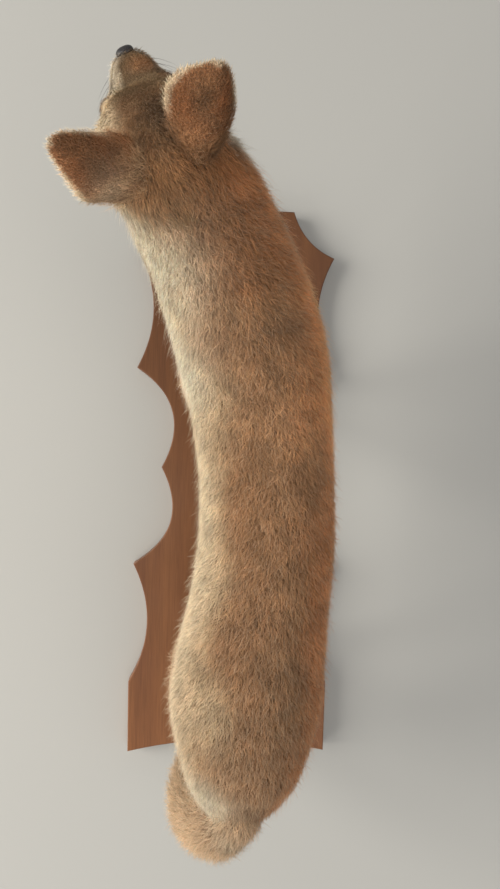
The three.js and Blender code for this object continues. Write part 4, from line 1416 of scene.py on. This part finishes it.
def make_wood():
    """Long grain: noise stretched along the board, with fine pores, a tone that grows paler towards the rear,
    and a worn satin varnish."""
    material, tree, shader = new_material("stained_board")
    place = object_place(tree)
    stretch = node(tree, "Mapping", {"Vector": place, "Scale": (34.0, 1.6, 20.0)})
    grain = node(tree, "TexNoise", {"Vector": stretch, "Scale": 1.0, "Detail": 6.0, "Distortion": 0.6}, "Fac")
    fine_stretch = node(tree, "Mapping", {"Vector": place, "Scale": (700.0, 25.0, 300.0)})
    pores = node(tree, "TexNoise", {"Vector": fine_stretch, "Scale": 1.0, "Detail": 3.0}, "Fac")
    tone = colour_ramp(tree, grain, (0.25, 0.150, 0.054, 0.019), (0.75, 0.235, 0.093, 0.032))
    forward = node(tree, "SeparateXYZ", {0: place}, "Y")
    # A smooth change of tone along the board, paler towards the rear.
    rear_paling = map_range(tree, forward, -0.30, 0.25, 1.12, 0.68)
    pore_tone = map_range(tree, pores, 0.35, 0.6, 0.85, 1.03)
    stained = node(tree, "Math", {0: rear_paling, 1: pore_tone}, operation="MULTIPLY")
    worn = node(tree, "TexNoise", {"Vector": place, "Scale": 14.0}, "Fac")
    feed(tree, shader, {
        "Base Color": node(tree, "VectorMath", {0: tone, "Scale": stained}, operation="SCALE"),
        "Roughness": map_range(tree, worn, 0.3, 0.7, 0.36, 0.55),
        "Normal": node(tree, "Bump", {"Strength": 0.25, "Distance": 0.0003, "Height": pores}),
        "Specular IOR Level": 0.3, "Coat Weight": 0.06, "Coat Roughness": 0.4})
    return material


new_piece("scalloped_board", board_mesh(), make_wood(), "wood", "board")

# %% [markdown]
# ## Floor, light and camera
# A pale matt floor, one broad soft light from the fox's left, and two weaker ones from above and
# from behind give the calm light of a display room. The camera looks down over the back.

# %% Stage
FLOOR_HALF, FLOOR_DROP = 4, 0.0005
CAMERA_AT, CAMERA_LENS, SENSOR_WIDTH, NEAREST = (-0.04247, 0.04783, 0.94), 28, 36, 0.01
CAMERA_RIGHT = (0.99724485, 0.02382169, 0.0702512)
CAMERA_UP = (-0.0237628, 0.99971622, -0.00167398)
CAMERA_BACK = (-0.07027114, 0.0, 0.99752793)


def make_floor_finish():
    """Matt and pale, with a slow change of tone."""
    material, tree, shader = new_material("pale_floor")
    mottle = node(tree, "TexNoise", {"Scale": 3.0}, "Fac")
    tone = colour_ramp(tree, mottle, (0.0, 0.45, 0.44, 0.405), (1.0, 0.49, 0.48, 0.445))
    feed(tree, shader, {"Base Color": tone, "Roughness": 0.7})
    return material


def soft_light(name, place, target, size, watts, colour):
    """A square area light of a given size at a place, turned to face a target."""
    data = bpy.data.lights.new(name, "AREA")
    data.size, data.energy, data.color = size, watts, colour
    lamp = link_object(name, data)
    lamp.location = place
    lamp.rotation_mode = "QUATERNION"
    lamp.rotation_quaternion = (Vector(target) - Vector(place)).to_track_quat("-Z", "Y")


floor_corners = [(x * FLOOR_HALF, y * FLOOR_HALF, -FLOOR_DROP)
                 for x, y in ((-1, -1), (1, -1), (1, 1), (-1, 1))]
floor_mesh = new_mesh("floor", np.array(floor_corners), [[0, 1, 2, 3]], smooth=False)
floor_mesh.materials.append(make_floor_finish())
link_object("floor", floor_mesh)

soft_light("window", (-3.4, 0.3, 2.0), (0, 0, 0.25), 2.4, 160, (1.0, 0.97, 0.91))
soft_light("overhead", (0.6, -0.6, 3.4), (0, 0, 0.1), 2.4, 34, (1.0, 0.98, 0.95))
soft_light("fill", (-2.4, -2.0, 1.3), (0, 0, 0.3), 1.5, 34, (1.0, 0.97, 0.92))
world = bpy.data.worlds.new("room")
world.use_nodes = True
feed(world.node_tree, world.node_tree.nodes["Background"], {"Color": (0.95, 0.96, 1.0, 1), "Strength": 0.36})
bpy.context.scene.world = world
bpy.context.scene.view_settings.view_transform = "Standard"

camera_data = bpy.data.cameras.new("camera")
camera_data.lens, camera_data.sensor_width, camera_data.clip_start = CAMERA_LENS, SENSOR_WIDTH, NEAREST
camera = link_object("camera", camera_data)
camera.matrix_world = Matrix((*zip(CAMERA_RIGHT, CAMERA_UP, CAMERA_BACK, CAMERA_AT), (0, 0, 0, 1)))
bpy.context.scene.camera = camera
